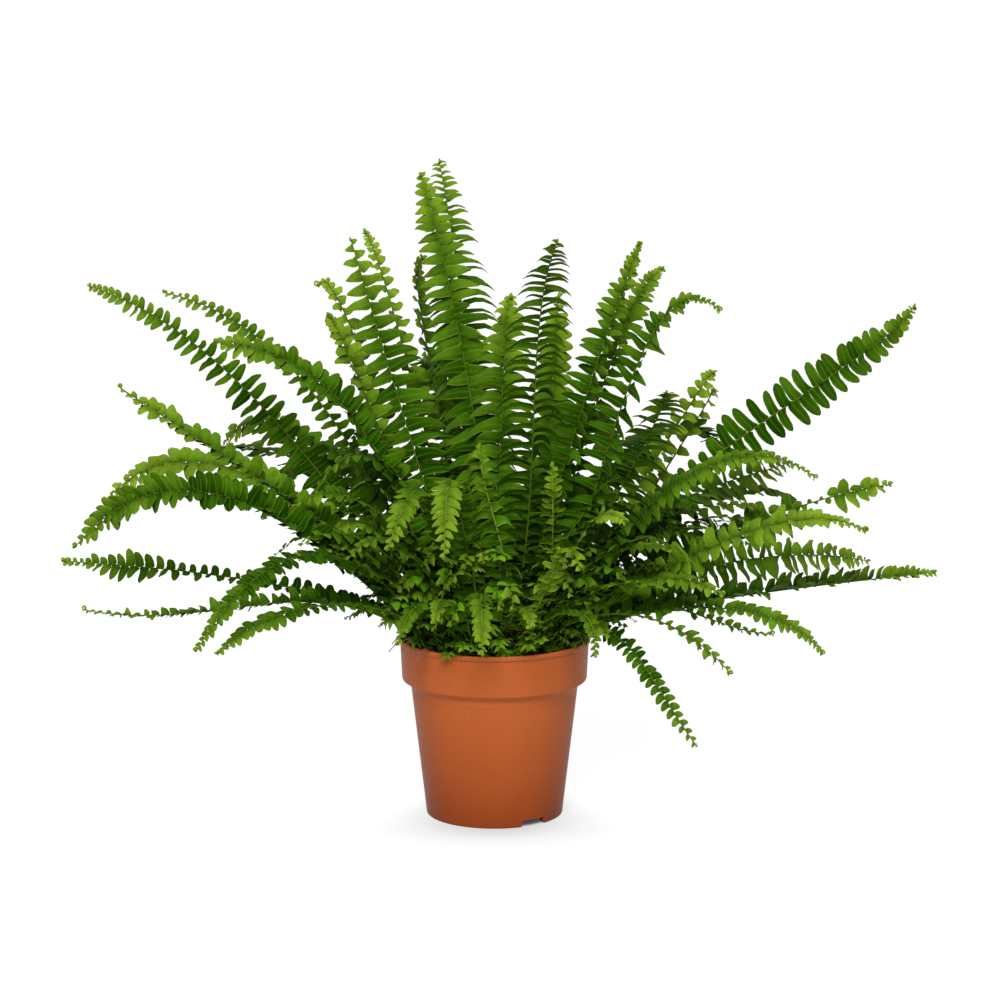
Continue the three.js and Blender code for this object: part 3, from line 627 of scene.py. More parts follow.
def frond_finish():
    """Leaflets and ribs: green that turns yellow with youth, with veins and a paler underside,
    painted shade at each leaflet's base and a painted highlight along its margins.
    """
    f = Finish("fern_leaflets")
    along, across = f.leaf()
    off_midrib = abs(across - 0.5) * 2
    midrib = 1 - off_midrib.rise(0.03, 0.16)
    side_veins = (along * 62 - off_midrib * 17).maths("SINE").rise(0.35, 1.0)
    side_veins = side_veins * off_midrib.rise(0.02, 0.2)
    # The along term makes each leaflet younger towards its end: painted light, with the painted
    # shade at its base below.
    age = (f.mark("age") + (f.noise(34.0) - 0.5) * 0.35 + (along - 0.5) * 0.16).kept()
    tone = f.mark("tone")
    green = f.mix(age, LEAF_MATURE, LEAF_YOUNG_AND_EDGE_LIGHT)
    # By tone, grown leaflets darken and, above 1, turn fresh green; as tone takes each frond's
    # dark, this is partly painted shade and painted light.
    green = f.mix(((1 - tone) * (1 - age) * 0.7).kept(), green, LEAF_DARK_AND_SHADE)
    green = f.mix((tone - 1).kept() * (1 - age), green, LEAF_FRESH_AND_PAINTED_LIGHT)
    # Painted shade: each leaflet darkened near its base at the rib, less so the younger it is.
    green = f.mix((1 - along.rise(0.0, 0.45)) * (1 - age * 0.5) * 0.75, green, LEAF_DARK_AND_SHADE)
    green = f.mix(f.noise(420.0, 4.0).rise(0.35, 0.7) * 0.3, green, LEAF_DARK_AND_SHADE)
    green = f.mix(side_veins * 0.20, green, LEAF_VEIN)
    green = f.mix(midrib * 0.40, green, LEAF_VEIN)
    # Painted highlight: the leaflet's margins lightened towards the young colour.
    green = f.mix(off_midrib.rise(0.75, 1.0) * 0.30, green, LEAF_YOUNG_AND_EDGE_LIGHT)
    green = f.mix(f.mark("under") * 0.4, green, LEAF_UNDER)
    stalk = f.mix(f.mark("age"), STALK_GREEN, STALK_PALE)
    stalk = f.mix(f.mark("woody"), stalk, STALK_BROWN)
    f.set(Base_Color=f.mix(f.mark("rib"), green, stalk))
    f.set(Roughness=0.42 + f.noise(300.0) * 0.18)
    f.feed(f.shader.inputs["Specular IOR Level"], 0.06)
    f.feed(f.shader.inputs["Specular Tint"], LEAF_SHINE)
    f.bump(side_veins * -0.5 - midrib * 0.8 + f.noise(1500.0) * 0.35, 0.16)
    through = f.node("ShaderNodeBsdfTranslucent", None, {"Color": LEAF_THROUGH}).outputs[0]
    shares = {0: 0.20, 1: f.shader.outputs[0], 2: through}
    f.show(f.node("ShaderNodeMixShader", None, shares).outputs[0])
    return f.material


def pot_finish():
    """Moulded terracotta-coloured plastic: satin, with flow clouds, fine grain and light scuffs,
    painted shade that darkens it towards the base, and painted light in a narrow band under the
    collar that thins the collar's shadow."""
    f = Finish("terracotta_plastic")
    clouds = f.noise(17.0, 2.0, stretch=(1.0, 1.0, 0.45))
    grain = f.noise(2600.0, 2.0)
    scuffs = f.noise(150.0, 5.0, 0.7, stretch=(1.0, 1.0, 0.25)).rise(0.60, 0.72)
    colour = f.ramp(clouds, POT_CLOUDS)
    colour = f.mix(scuffs * 0.10, colour, POT_SCUFFED)
    colour = f.mix(grain.rise(0.5, 0.9) * 0.12, colour, POT_GRAIN_AND_SHADE)
    height = f.axes()[2]
    # Painted shade: darker towards the base, down to the floor.
    colour = f.mix((1 - height.rise(-0.010, 0.078)) * 0.85, colour, POT_GRAIN_AND_SHADE)
    # Painted light: a pale band just under the collar that thins the collar's cast shadow.
    collar_shadow_lift = height.rise(0.080, 0.0866) * (1 - height.rise(0.0868, 0.0872))
    colour = f.mix(collar_shadow_lift * 0.62, colour, POT_PAINTED_LIGHT)
    f.set(Base_Color=colour)
    f.feed(f.shader.inputs["Specular IOR Level"], 0.09)
    f.feed(f.shader.inputs["Specular Tint"], POT_SHINE)
    f.set(Roughness=0.40 + clouds * 0.10 + scuffs * 0.12)
    f.bump(grain * 0.6 + scuffs * 0.4, 0.05)
    return f.material


def peat_finish():
    """Damp potting peat: near black, with brown fibres and crumbs that catch the light."""
    f = Finish("potting_peat")
    crumbs = f.noise(420.0, 6.0, 0.7)
    fibres = f.noise(260.0, 3.0, 0.6, stretch=(1.0, 4.0, 1.0)).rise(0.56, 0.66)
    colour = f.mix(fibres * 0.5, f.ramp(crumbs, PEAT_CRUMBS), PEAT_FIBRE)
    f.set(Base_Color=colour, Roughness=0.82 + crumbs * 0.15)
    f.bump(crumbs + fibres * 0.4, 0.8)
    return f.material


def rhizome_finish():
    """Papery brown scales and wiry runners, streaked along and lighter at the frayed edges."""
    f = Finish("brown_scales")
    streaks = f.noise(700.0, 4.0, 0.65, stretch=(1.0, 1.0, 0.3))
    f.set(Base_Color=f.ramp(streaks, SCALE_STREAKS), Roughness=0.62 + streaks * 0.2)
    f.bump(streaks, 0.25)
    return f.material


# Pot

def body_radius(z):
    """The body widens evenly from the base to the neck."""
    return lerp(BASE_RADIUS, NECK_RADIUS, z / (POT_HEIGHT - COLLAR_DEPTH))


def rounded(corners, reach, steps=5):
    """An open outline with each inner corner turned into the arc of a quadratic curve, which
    starts and ends at most reach millimetres from the corner."""
    corners = np.array(corners, float)
    middle = corners[1:-1]
    back, ahead = corners[:-2] - middle, corners[2:] - middle
    start = middle + unit(back) * np.minimum(reach, np.linalg.norm(back, axis=1) / 2.2)[:, None]
    end = middle + unit(ahead) * np.minimum(reach, np.linalg.norm(ahead, axis=1) / 2.2)[:, None]
    t = np.linspace(0, 1, steps)[None, :, None]
    arcs = (1 - t) ** 2 * start[:, None] + 2 * t * (1 - t) * middle[:, None] + t**2 * end[:, None]
    return np.concatenate([corners[:1], arcs.reshape(-1, 2), corners[-1:]])


def lathe(profile, steps):
    """A profile of radius and height carried round the upright axis: one ring to each of its
    points, at x = radius times the turn's cosine and y = radius times its sine."""
    turn = np.linspace(0, 2 * np.pi, steps, endpoint=False)
    radius, height = profile[:, :1], profile[:, 1:]
    rings = np.stack([radius * np.cos(turn), radius * np.sin(turn), height + 0 * turn], -1)
    return rings.reshape(-1, 3), tube_faces(len(profile), steps)


def prism(outline, low, high):
    """A flat outline in x and y carried from one height to another."""
    ends = [np.column_stack([outline, np.full(len(outline), float(z))]) for z in (low, high)]
    return np.concatenate(ends), tube_faces(2, len(outline))


def joined(shapes):
    """Several shapes of points and faces as one."""
    points, faces, start = [], [], 0
    for shape_points, shape_faces in shapes:
        points.append(shape_points)
        faces += [[corner + start for corner in face] for face in shape_faces]
        start += len(shape_points)
    return np.concatenate(points), faces


def cut_away(piece, points, faces):
    """Takes the shape, whose faces point outwards, away from the piece."""
    tool = make_piece("tool", points, faces, None)
    modifier = piece.modifiers.new("holes", "BOOLEAN")
    modifier.object = tool
    modifier.solver = "EXACT"
    bpy.context.view_layer.objects.active = piece
    bpy.ops.object.modifier_apply(modifier=modifier.name)
    bpy.data.objects.remove(tool)


def notch(angle):
    """A water notch through the foot ring: straight above and flared at its lower corners."""
    half, flared = NOTCH_WIDTH / 2, NOTCH_WIDTH / 2 + NOTCH_FLARE
    corners = [(half, GUTTER_HEIGHT - 0.1), (half, 1.6), (half + 0.4, 0.6), (flared, 0)]
    right = np.array([*corners, (flared, -1)])
    outline = np.concatenate([right, right[::-1] * (-1, 1)])
    points, faces = prism(outline, *NOTCH_SPAN)
    across, up, out = points.T
    turn = math.radians(angle)
    x = out * math.cos(turn) - across * math.sin(turn)
    y = out * math.sin(turn) + across * math.cos(turn)
    return np.column_stack([x, y, up]), [face[::-1] for face in faces]


def make_pot():
    """One moulded shell: pad, gutter, foot ring, tapered body, collar and thin rolled lip."""
    collar = POT_HEIGHT - COLLAR_DEPTH
    shoulder, floor = collar + POT_WALL, GUTTER_HEIGHT + POT_WALL
    body = [(body_radius(z), z) for z in BODY_LEVELS]
    foot = rounded([
        (AXIS_GAP, 0), (PAD_RADIUS, 0), (PAD_RADIUS + 2, GUTTER_HEIGHT),
        (FOOT_INNER_RADIUS - 0.6, GUTTER_HEIGHT), (FOOT_INNER_RADIUS, 0), (BASE_RADIUS, 0),
        body[0],
    ], FOOT_ROUNDING, 4)
    side = rounded([
        body[-1], (body_radius(collar), collar), (COLLAR_FOOT_RADIUS, collar + 0.3),
        (LIP_RADIUS - LIP_STEP, POT_HEIGHT - LIP_DEPTH - 0.4), (LIP_RADIUS, POT_HEIGHT - LIP_DEPTH),
        (LIP_RADIUS, POT_HEIGHT), (LIP_RADIUS - POT_WALL - 0.4, POT_HEIGHT),
        (COLLAR_FOOT_RADIUS - POT_WALL, shoulder + 1.6),
        (COLLAR_FOOT_RADIUS - POT_WALL - 1.4, shoulder),
        (body_radius(shoulder) - POT_WALL, shoulder - 1.2),
        (body_radius(floor) - POT_WALL, floor), (PAD_RADIUS + 2.6, floor),
        (PAD_RADIUS - 0.6, POT_WALL), (AXIS_GAP, POT_WALL),
    ], COLLAR_ROUNDING)
    profile = np.concatenate([foot, body[1:-1], side])
    piece = make_piece("pot_shell", *lathe(profile, POT_STEPS), pot_finish())
    turn = np.linspace(0, 2 * np.pi, DRAIN_STEPS, endpoint=False)
    ring = DRAIN_RADIUS * np.column_stack([np.cos(turn), np.sin(turn)])
    tools = [notch(angle) for angle in NOTCH_ANGLES]
    for angle in np.radians((np.arange(DRAIN_COUNT) + 0.5) * 360 / DRAIN_COUNT):
        middle = DRAIN_CIRCLE * np.array([math.cos(angle), math.sin(angle)])
        tools.append(prism(ring + middle, floor - 4, floor + 4))
    cut_away(piece, *joined(tools))
    piece.data.set_sharp_from_angle(angle=math.radians(POT_CREASE))
    stand_for(piece, "pot")


# Slivers and strands

SLIVER_ACROSS = np.array([-1, -0.5, 0, 0.5, 1, 0.5, 0, -0.5])
SLIVER_FACE = np.array([0, 1, 1, 1, 0, -1, -1, -1])
SLIVER_POINTS = len(SLIVER_ACROSS)


def slivers(root, along, across, up, length, half_width, thickness, outline, arch):
    """Thin blades, all worked out at once. A blade's middle line leaves its root straight along
    and sinks by arch of its length times the square of the way; its rings are as wide as the
    outline's share of the half width. Of a ring's eight points two lie on its edges, three on
    its upper face and three on its lower."""
    s = outline[:, 0]
    middle = root[:, None] + length[:, None, None] * (
        along[:, None] * s[None, :, None] - up[:, None] * (arch[:, None] * s**2)[..., None]
    )
    wide = half_width[:, None, None] * outline[:, 1][None, :, None] * SLIVER_ACROSS
    high = thickness / 2 * SLIVER_FACE - 0.25 * np.abs(wide) * np.abs(SLIVER_ACROSS)
    points = middle[:, :, None] + across[:, None, None] * wide[..., None]
    points = points + up[:, None, None] * high[..., None]
    faces = loft_faces(len(root), len(outline), SLIVER_POINTS, np.zeros(len(root), bool))
    return points.reshape(-1, 3), faces


def strand(path, radius, sides=6):
    """A tube along a path, with its rings set square to it."""
    ahead = unit(np.gradient(path, axis=0))
    level = unit(np.cross(ahead, (0.31, 0.22, 0.92)))
    upright = np.cross(ahead, level)
    turn = np.linspace(0, 2 * np.pi, sides, endpoint=False)[None, :, None]
    radius = np.broadcast_to(radius, len(path))[:, None, None]
    out = level[:, None] * np.cos(turn) + upright[:, None] * np.sin(turn)
    rings = path[:, None] + radius * out
    return rings.reshape(-1, 3), loft_faces(1, len(path), sides, np.zeros(1, bool))


# Peat

def peat_height(x, y):
    """The mound falls from its middle with the square of the way out to the pot's wall."""
    share = np.hypot(x, y) / (COLLAR_FOOT_RADIUS - POT_WALL)
    return PEAT_MIDDLE - (PEAT_MIDDLE - PEAT_EDGE) * share**2


def peat_relief(x, y):
    """Clods: a sum of waves that cross at odd angles."""
    turned_waves = [
        height * np.sin(pace * (x * math.cos(turn * 2.4) + y * math.sin(turn * 2.4)) + turn)
        * np.cos(pace * 0.8 * (y * math.cos(turn) - x * math.sin(turn)))
        for pace, turn, height in CLOD_WAVES
    ]
    return sum(turned_waves)


def peat_block():
    """The block's section carried round the axis, up the pot's wall and in over the mound, whose
    clods fade out over the last 5 mm to its edge."""
    gap = POT_WALL + PEAT_GAP
    shoulder = POT_HEIGHT - COLLAR_DEPTH + POT_WALL
    edge = COLLAR_FOOT_RADIUS - gap
    side = [
        (AXIS_GAP, PEAT_FLOOR), (body_radius(PEAT_FLOOR) - gap, PEAT_FLOOR),
        (body_radius(shoulder) - gap - 0.1, shoulder - 0.6), (edge - 2, shoulder + 0.6),
        (edge - 0.1, shoulder + 2.6),
    ]
    mound = edge * np.linspace(1, 0.01, 46)
    top = np.column_stack([mound, peat_height(mound, 0)])
    points, faces = lathe(np.concatenate([side, top]), PEAT_STEPS)
    x, y, z = points.T
    inside = np.clip((edge - np.hypot(x, y)) / 5, 0, 1)
    points[:, 2] += np.where(z > PEAT_EDGE - 0.01, peat_relief(x, y) * inside, 0)
    return points, faces


def peat_crumbs(rng):
    """Crumbs on the mound: each is three square rings, narrow, wide and narrow, whose corners
    are moved in or out at random."""
    count = CRUMB_COUNT
    turn, out = rng.uniform(0, 2 * np.pi, count), LITTER_CIRCLE * np.sqrt(rng.uniform(0, 1, count))
    x, y = out * np.cos(turn), out * np.sin(turn)
    size = rng.uniform(0.6, 2.1, count)
    middle = np.column_stack([x, y, peat_height(x, y) + peat_relief(x, y) + size * 0.25])
    square = np.array([(-1, -1), (1, -1), (1, 1), (-1, 1)], float)
    levels = ((-0.8, 0.5), (0, 1), (0.7, 0.5))
    lump = np.stack([np.column_stack([square * w, np.full(4, h)]) for h, w in levels])
    lumps = lump * rng.uniform(0.6, 1.2, (count, 3, 4, 3)) * size[:, None, None, None]
    lumps = (lumps + middle[:, None, None]).reshape(-1, 3)
    return lumps, loft_faces(count, 3, 4, np.zeros(count, bool)).tolist()


def peat_fibre(rng):
    """A fibre lying on the mound: a strand whose heading turns evenly with the way along it."""
    turn, out = rng.uniform(0, 2 * math.pi), rng.uniform(8, 51)
    heading = rng.uniform(0, 2 * math.pi)
    s = np.linspace(0, rng.uniform(5, 14), 7)
    bend = rng.uniform(-0.07, 0.07)
    x = out * math.cos(turn) + s * np.cos(heading + bend * s)
    y = out * math.sin(turn) + s * np.sin(heading + bend * s)
    inside = np.minimum(1, LITTER_CIRCLE / np.hypot(x, y))
    x, y = x * inside, y * inside
    height = peat_height(x, y) + peat_relief(x, y) + 0.5 + 0.5 * np.sin(s)
    points, faces = strand(np.column_stack([x, y, height]), 0.22, 4)
    return points, faces.tolist()


def make_peat(rng):
    """The block of peat under its mound of clods, with crumbs and fibres lying on it."""
    shapes = [peat_block(), peat_crumbs(rng)]
    shapes += [peat_fibre(rng) for _ in range(FIBRE_COUNT)]
    piece = make_piece("potting_peat", *joined(shapes), peat_finish())
    stand_for(piece, "peat")


# Rhizome

def crown_lump(spin, steps=40, rows=22):
    """The lump: an ellipsoid whose radius swells and sinks by the product of two waves."""
    turn = np.linspace(0, 2 * np.pi, steps, endpoint=False)
    rise = np.linspace(-0.49, 0.49, rows)[:, None] * np.pi
    swell = 1 + 0.06 * np.sin(5 * turn)[None] * np.cos(7 * rise)
    ball = np.stack([
        np.cos(rise) * np.cos(turn) * swell,
        np.cos(rise) * np.sin(turn) * swell,
        np.sin(rise) * swell,
    ], -1)
    body = ball * RHIZOME_RADII @ spin + RHIZOME_MIDDLE
    return body.reshape(-1, 3), tube_faces(rows, steps)


def crown_scales(spin, rng):
    """Papery scales that stand off the lump at random places, most of them on its upper half."""
    count = RHIZOME_SCALES
    out = unit(rng.normal(size=(count, 3)) * (1, 1, 0.7) + (0, 0, 0.5))
    root = out * RHIZOME_RADII @ spin * 0.97 + RHIZOME_MIDDLE
    up = unit(out / RHIZOME_RADII @ spin)
    across = unit(np.cross(up, rng.normal(size=(count, 3))))
    along = unit(np.cross(across, up) * 0.8 + up * 0.45)
    up = np.cross(along, across)
    outline = np.array([(0, 0.6), (0.3, 1), (0.6, 0.8), (0.85, 0.4), (1, 0.08)])
    long, wide = rng.uniform(2.2, 4.2, count), rng.uniform(0.4, 0.8, count)
    bend = rng.uniform(-0.1, 0.3, count)
    points, faces = slivers(root, along, across, up, long, wide, 0.15, outline, bend)
    return points, faces.tolist()


def runner(handles):
    """A wiry runner: a strand along the cubic of its four handles, with a small wave in it."""
    t = np.linspace(0, 1, 26)[:, None]
    path = cubic(np.array(handles, float), t) + 0.5 * np.sin(t * (17, 13, 21) + (1, 2, 3))
    points, faces = strand(path, np.linspace(0.55, 0.3, len(t)), 6)
    return points, faces.tolist()


def make_rhizome(rng):
    """The scaly lump of the crown, with the wiry runners that leave it over the rim."""
    a = math.radians(RHIZOME_TURN)
    spin = np.array([(math.cos(a), math.sin(a), 0), (-math.sin(a), math.cos(a), 0), (0, 0, 1)])
    shapes = [crown_lump(spin), crown_scales(spin, rng), *map(runner, RUNNERS)]
    piece = make_piece("scaly_rhizome", *joined(shapes), rhizome_finish())
    stand_for(piece, "rhizome")


# Fronds

class Rib:
    """A frond's rib: the cubic from the foot that passes two points at a third and two thirds.
    Its frame starts from the level direction square to it and is rolled about it."""

    def __init__(self, foot, third, second, tip, roll_foot=0, roll_tip=0):
        foot, third, second, tip = (np.array(p, float) for p in (foot, third, second, tip))
        self.handles = (
            foot,
            (-5 * foot + 18 * third - 9 * second + 2 * tip) / 6,
            (2 * foot - 9 * third + 18 * second - 5 * tip) / 6,
            tip,
        )
        self.level = np.cross(UP, unit((tip - foot) * (1, 1, 0)))
        self.rolls = math.radians(roll_foot), math.radians(roll_tip)
        blade = self.frame(np.linspace(BARE_SHARE, 1, 60))[0]
        self.blade_length = np.linalg.norm(np.diff(blade, axis=0), axis=1).sum()

    def frame(self, t):
        """Where the rib is at each t, which way it runs, its left and the way its face looks."""
        t = np.asarray(t, float)[:, None]
        a, b, c, d = self.handles
        s = 1 - t
        tangent = unit(s**2 * (b - a) + 2 * s * t * (c - b) + t**2 * (d - c))
        side = unit(self.level - dot(self.level, tangent) * tangent)
        square = np.cross(tangent, side)
        roll = lerp(*self.rolls, t) * np.minimum(1, t / BARE_SHARE)
        return (
            cubic(self.handles, t),
            tangent,
            side * np.cos(roll) + square * np.sin(roll),
            square * np.cos(roll) - side * np.sin(roll),
        )


def foot_of(third):
    """A frond leaves the peat part of the way out to the place a third of the way along it."""
    x, y, _ = np.array(third) * min(FOOT_SHARE, FOOT_LIMIT / math.hypot(*third[:2]))
    return x, y, peat_height(x, y) + FOOT_RISE


def leaflet_share(length, u, stay):
    """How long leaflets are along the blade: short at the foot, longest at a third and fine at
    the tip. Broad fronds narrow over their whole length, narrow ones only near the tip."""
    taper = stay * np.interp(length, [NARROW_LENGTH, BROAD_LENGTH], [TAPER_NARROW, TAPER_BROAD])
    return np.minimum(1, FOOT_LEAFLET + FOOT_WIDENING * u) * (1 - TIP_NARROWING * u**taper)


LEAFLET_STEPS = np.array([0, 0.05, 0.15, 0.35, 0.58, 0.80, 0.94, 1.0])
SPRIG_STEPS = np.array([0, 0.12, 0.45, 0.85, 1.0])


def leaflet_places(rib, pairs, look):
    """Where leaflets leave the rib, one row and then the other: the side of each, its pitch, and
    its place t along the rib and u along the blade. The two rows alternate, and the pitch falls
    towards the tip by the power even."""
    per_side = round(look["per_pair"] * pairs / (1 - BARE_SHARE) * (1 - LOWEST_LEAFLET))
    even = look["even"]
    k = np.arange(per_side)
    v = np.concatenate([(k + 0.25) / per_side, (k + 0.75) / per_side])
    hand = np.repeat([1.0, -1.0], per_side)[:, None]
    pitch = rib.blade_length * even * (1 - v) ** (even - 1) / per_side
    t = LOWEST_LEAFLET + (1 - LOWEST_LEAFLET) * (1 - (1 - v) ** even)
    inner = np.clip((t - BARE_SHARE) / (1 - BARE_SHARE), 0, 1)
    u = 1 - (1 - np.minimum(1, inner / BLADE_END)) ** (1 / PITCH_TAPER)
    return hand, pitch, t, u


def leaflet_lengths(length, t, u, slim, look, rng):
    """The longest leaflet's length times the blade's share, less slim times a power of u, times
    the look's sizes: shorter on the bare stalk, a few stunted, and none of them too short."""
    stay = look["stay"]
    size = length * leaflet_share(length, u, stay) * (1 - slim * u ** (SLIM_POWER * stay))
    size *= np.interp(t, [LOWEST_LEAFLET, BARE_SHARE + 0.05], [0.45, 1])
    size *= np.interp(u, *np.transpose(look["sizes"])) * rng.uniform(0.90, 1.08, len(u))
    size *= np.where(rng.uniform(size=len(u)) < 0.04, 0.65, 1)
    return np.maximum(size, SHORTEST_LEAFLET * (1 - 0.35 * u))


def leaflet_frames(rib, hand, t, u, fold, look, rng):
    """Where each leaflet starts, and its directions along, across and out of its face: it leaves
    the rib sideways, folded up by a share that falls with u, swept towards the tip by one that
    grows with the square of u, and turned about its own length like a slat."""
    point, tangent, side, normal = rib.frame(t)
    count = len(t)
    tilt = fold * (1 - u ** look["hold"]) + rng.normal(0, FOLD_SPREAD, count)
    sweep = lerp(SWEEP_FOOT, look["sweep"], u**2) + rng.normal(0, SWEEP_SPREAD, count)
    slat = look["slat"] + rng.normal(0, SLAT_SPREAD, count)
    tilt, sweep, slat = (np.radians(angle)[:, None] for angle in (tilt, sweep, slat))
    out = hand * side * np.cos(tilt) + normal * np.sin(tilt)
    face = normal * np.cos(tilt) - hand * side * np.sin(tilt)
    along = out * np.cos(sweep) + tangent * np.sin(sweep)
    across = tangent * np.cos(sweep) - out * np.sin(sweep)
    turned_across = across * np.cos(slat) - face * np.sin(slat)
    turned_face = face * np.cos(slat) + across * np.sin(slat)
    return point, along, turned_across, turned_face


def leaflet_rings(rib, length, pairs, fold, young, slim, look, rng, steps=LEAFLET_STEPS):
    """All of a frond's leaflets at once, as rings of eight points, with their marks.

    A leaflet's middle line sinks with the square of the way along it, and droops by a cubic. Its
    outline is the 0.6 power of one minus a power of that way, with an ear on the side near the
    frond's tip and a rippled edge. Its face is arched across and waved along, the more the
    younger the frond is.
    """
    hand, pitch, t, u = leaflet_places(rib, pairs, look)
    count = len(t)
    size = leaflet_lengths(length, t, u, slim, look, rng)
    half = 0.5 * pitch * look["full"] * rng.uniform(0.9, 1.1, count)
    half = np.minimum(np.maximum(half, 1.0), lerp(0.34, 0.46, u**2) * size)[:, None, None]
    point, along, across, face = leaflet_frames(rib, hand, t, u, fold, look, rng)
    sag = (size / SAG_LENGTH) ** 2
    reach = (size / np.linalg.norm(along - UP * sag[:, None], axis=1))[:, None, None]
    s, along, sag, droop = steps[None, :, None], along[:, None], sag[:, None, None], look["droop"]
    sink = sag * s**2 + droop * (1.5 * s**3 - 0.5 * s)
    middle = point[:, None] + reach * (along * s - UP * sink)
    ahead = unit(along - UP * (2 * sag * s + droop * (4.5 * s**2 - 0.5)))
    face = unit(face[:, None] - dot(face[:, None], ahead) * ahead)
    outline = np.maximum(LEAF_TIP_WIDTH, (1 - s ** look["blunt"]) ** LEAF_ROUNDING)
    outline = outline * np.clip(0.7 + s * 6, 0, 1)
    ear = EAR_SIZE * np.exp(-(((s - EAR_PLACE) / EAR_REACH) ** 2))
    phase = rng.uniform(0, 2 * np.pi, (count, 1, 1))
    a = SLIVER_ACROSS[None, None]
    ripple = 1 + (0.03 + 0.09 * young) * np.sin(s * EDGE_RIPPLES + phase + a)
    lobe = np.where(a > 0, 1 + ear, 0.8 + 0.2 * np.minimum(1, s / 0.25))
    wide = half * outline * a * lobe * ripple + LEAF_CURVE * size[:, None, None] * s**2
    wave = half * (0.08 + 0.22 * young) * np.sin(s * FACE_WAVES + phase) * a**2
    arch = half * outline * (0.26 * np.abs(a) - 0.44 * a**2)
    high = LEAF_HALF_THICKNESS * SLIVER_FACE * (s < 0.99) + arch + wave
    points = middle[:, :, None] + across[:, None, None] * wide[..., None]
    points = points + face[:, :, None] * high[..., None]
    # The frond's dark lowers tone and age: partly its own tone, partly painted shade, and painted
    # light below 0.
    tone = rng.uniform(-0.2, 1.2, (count, 1, 1)) - look["dark"]
    age = 0.55 * young**1.6 * (1 - look["dark"]) + 0.8 * u**2.4
    marks = {"tone": tone, "age": age[:, None, None], "under": SLIVER_FACE < 0}
    marks = {
        name: np.broadcast_to(values, points.shape[:3]).reshape(-1).astype(float)
        for name, values in marks.items()
    }
    uv = np.stack([s + 0 * a, 0 * s + a / 2 + 0.5], -1)
    faces = loft_faces(count, len(steps), SLIVER_POINTS, hand[:, 0] < 0)
    return points.reshape(-1, 3), faces, marks, np.repeat(uv, count, axis=0).reshape(-1, 2)


def rib_rings(rib, young, pale, thickness=1.0, steps=56, coil_steps=14):
    """The stalk and rib, which thin with the square root of the way along, and the coil in which
    they end, whose swing shrinks evenly as it turns, as rings of six points."""
    t = np.concatenate([[0, 0], np.linspace(0, 1, steps)[1:]])
    point, tangent, side, normal = rib.frame(t)
    point[0] -= UP * ROOT_DEPTH
    turns, coil, bud_width = TIGHT_COIL if young > YOUNG_FROM else LOOSE_COIL
    angle = np.linspace(0, turns, coil_steps)[1:, None]
    swing = coil * thickness * (1 - 0.55 * angle / turns)
    curl = point[-1] + normal[-1] * (coil * thickness - swing * np.cos(angle))
    curl = curl + tangent[-1] * swing * np.sin(angle)
    path = np.concatenate([point, curl])
    thick = np.concatenate([
        lerp(STALK_HALF_WIDTH, RIB_HALF_WIDTH, np.sqrt(t)),
        lerp(RIB_HALF_WIDTH, bud_width, angle[:, 0] / turns),
    ])
    ahead = np.concatenate([tangent, unit(np.gradient(curl, axis=0))])
    level = np.concatenate([side, np.broadcast_to(side[-1], curl.shape)])
    face = np.cross(ahead, level)
    turn = np.linspace(0, 2 * np.pi, RIB_SIDES, endpoint=False)[None, :, None]
    ring = level[:, None] * np.cos(turn) + face[:, None] * np.sin(turn)
    points = (path[:, None] + thickness * thick[:, None, None] * ring).reshape(-1, 3)
    woody = np.concatenate([np.clip(1.0 - 4.0 * t, 0, 1), np.zeros(len(angle))])
    bud = np.concatenate([np.clip((t - 0.9) * 10, 0, 1), np.ones(len(angle))])
    marks = {"rib": 1 - bud, "age": np.maximum(bud, pale), "woody": woody}
    marks = {name: np.repeat(values, RIB_SIDES) for name, values in marks.items()}
    faces = loft_faces(1, len(path), RIB_SIDES, np.zeros(1, bool))
    return points, faces, marks, np.full((len(points), 2), 0.5)


def stalk_scales(rib, rng):
    """Small papery scales standing off the lowest part of the stalk."""
    count = STALK_SCALES
    t = rng.uniform(0.0, 0.11, count)
    point, tangent, side, normal = rib.frame(t)
    turn = rng.uniform(0, 2 * np.pi, count)[:, None]
    out = side * np.cos(turn) + normal * np.sin(turn)
    across = np.cross(tangent, out)
    along = unit(tangent + out * rng.uniform(0.5, 1.3, count)[:, None])
    up = np.cross(along, across)
    outline = np.array([(0, 0.5), (0.4, 1), (0.75, 0.6), (1, 0.08)])
    long, wide = rng.uniform(1.8, 3.6, count), rng.uniform(0.25, 0.5, count)
    bend = rng.uniform(-0.2, 0.2, count)
    points, faces = slivers(point + out * 0.7, along, across, up, long, wide, 0.12, outline, bend)
    return points, faces, {"rib": 1, "woody": 1}, np.full((len(points), 2), 0.5)


def make_frond(node, row, material, rng):
    """One frond: two rows of leaflets, their rib with its coil, and the scales on the stalk."""
    third, second, tip, length, pairs, roll_foot, roll_tip, fold, young, slim = row
    rib = Rib(foot_of(third), third, second, tip, roll_foot, roll_tip)
    name = node.replace("frond_", "")
    look = {**(YOUNG_LOOK if young > YOUNG_FROM else PLAIN_LOOK), **LOOKS.get(name, {})}
    shapes = [
        leaflet_rings(rib, length, pairs, fold, young, slim, look, rng),
        rib_rings(rib, young, look["pale"]),
        stalk_scales(rib, rng),
    ]
    piece = make_leafy(name + "_frond", shapes, material)
    stand_for(piece, node)


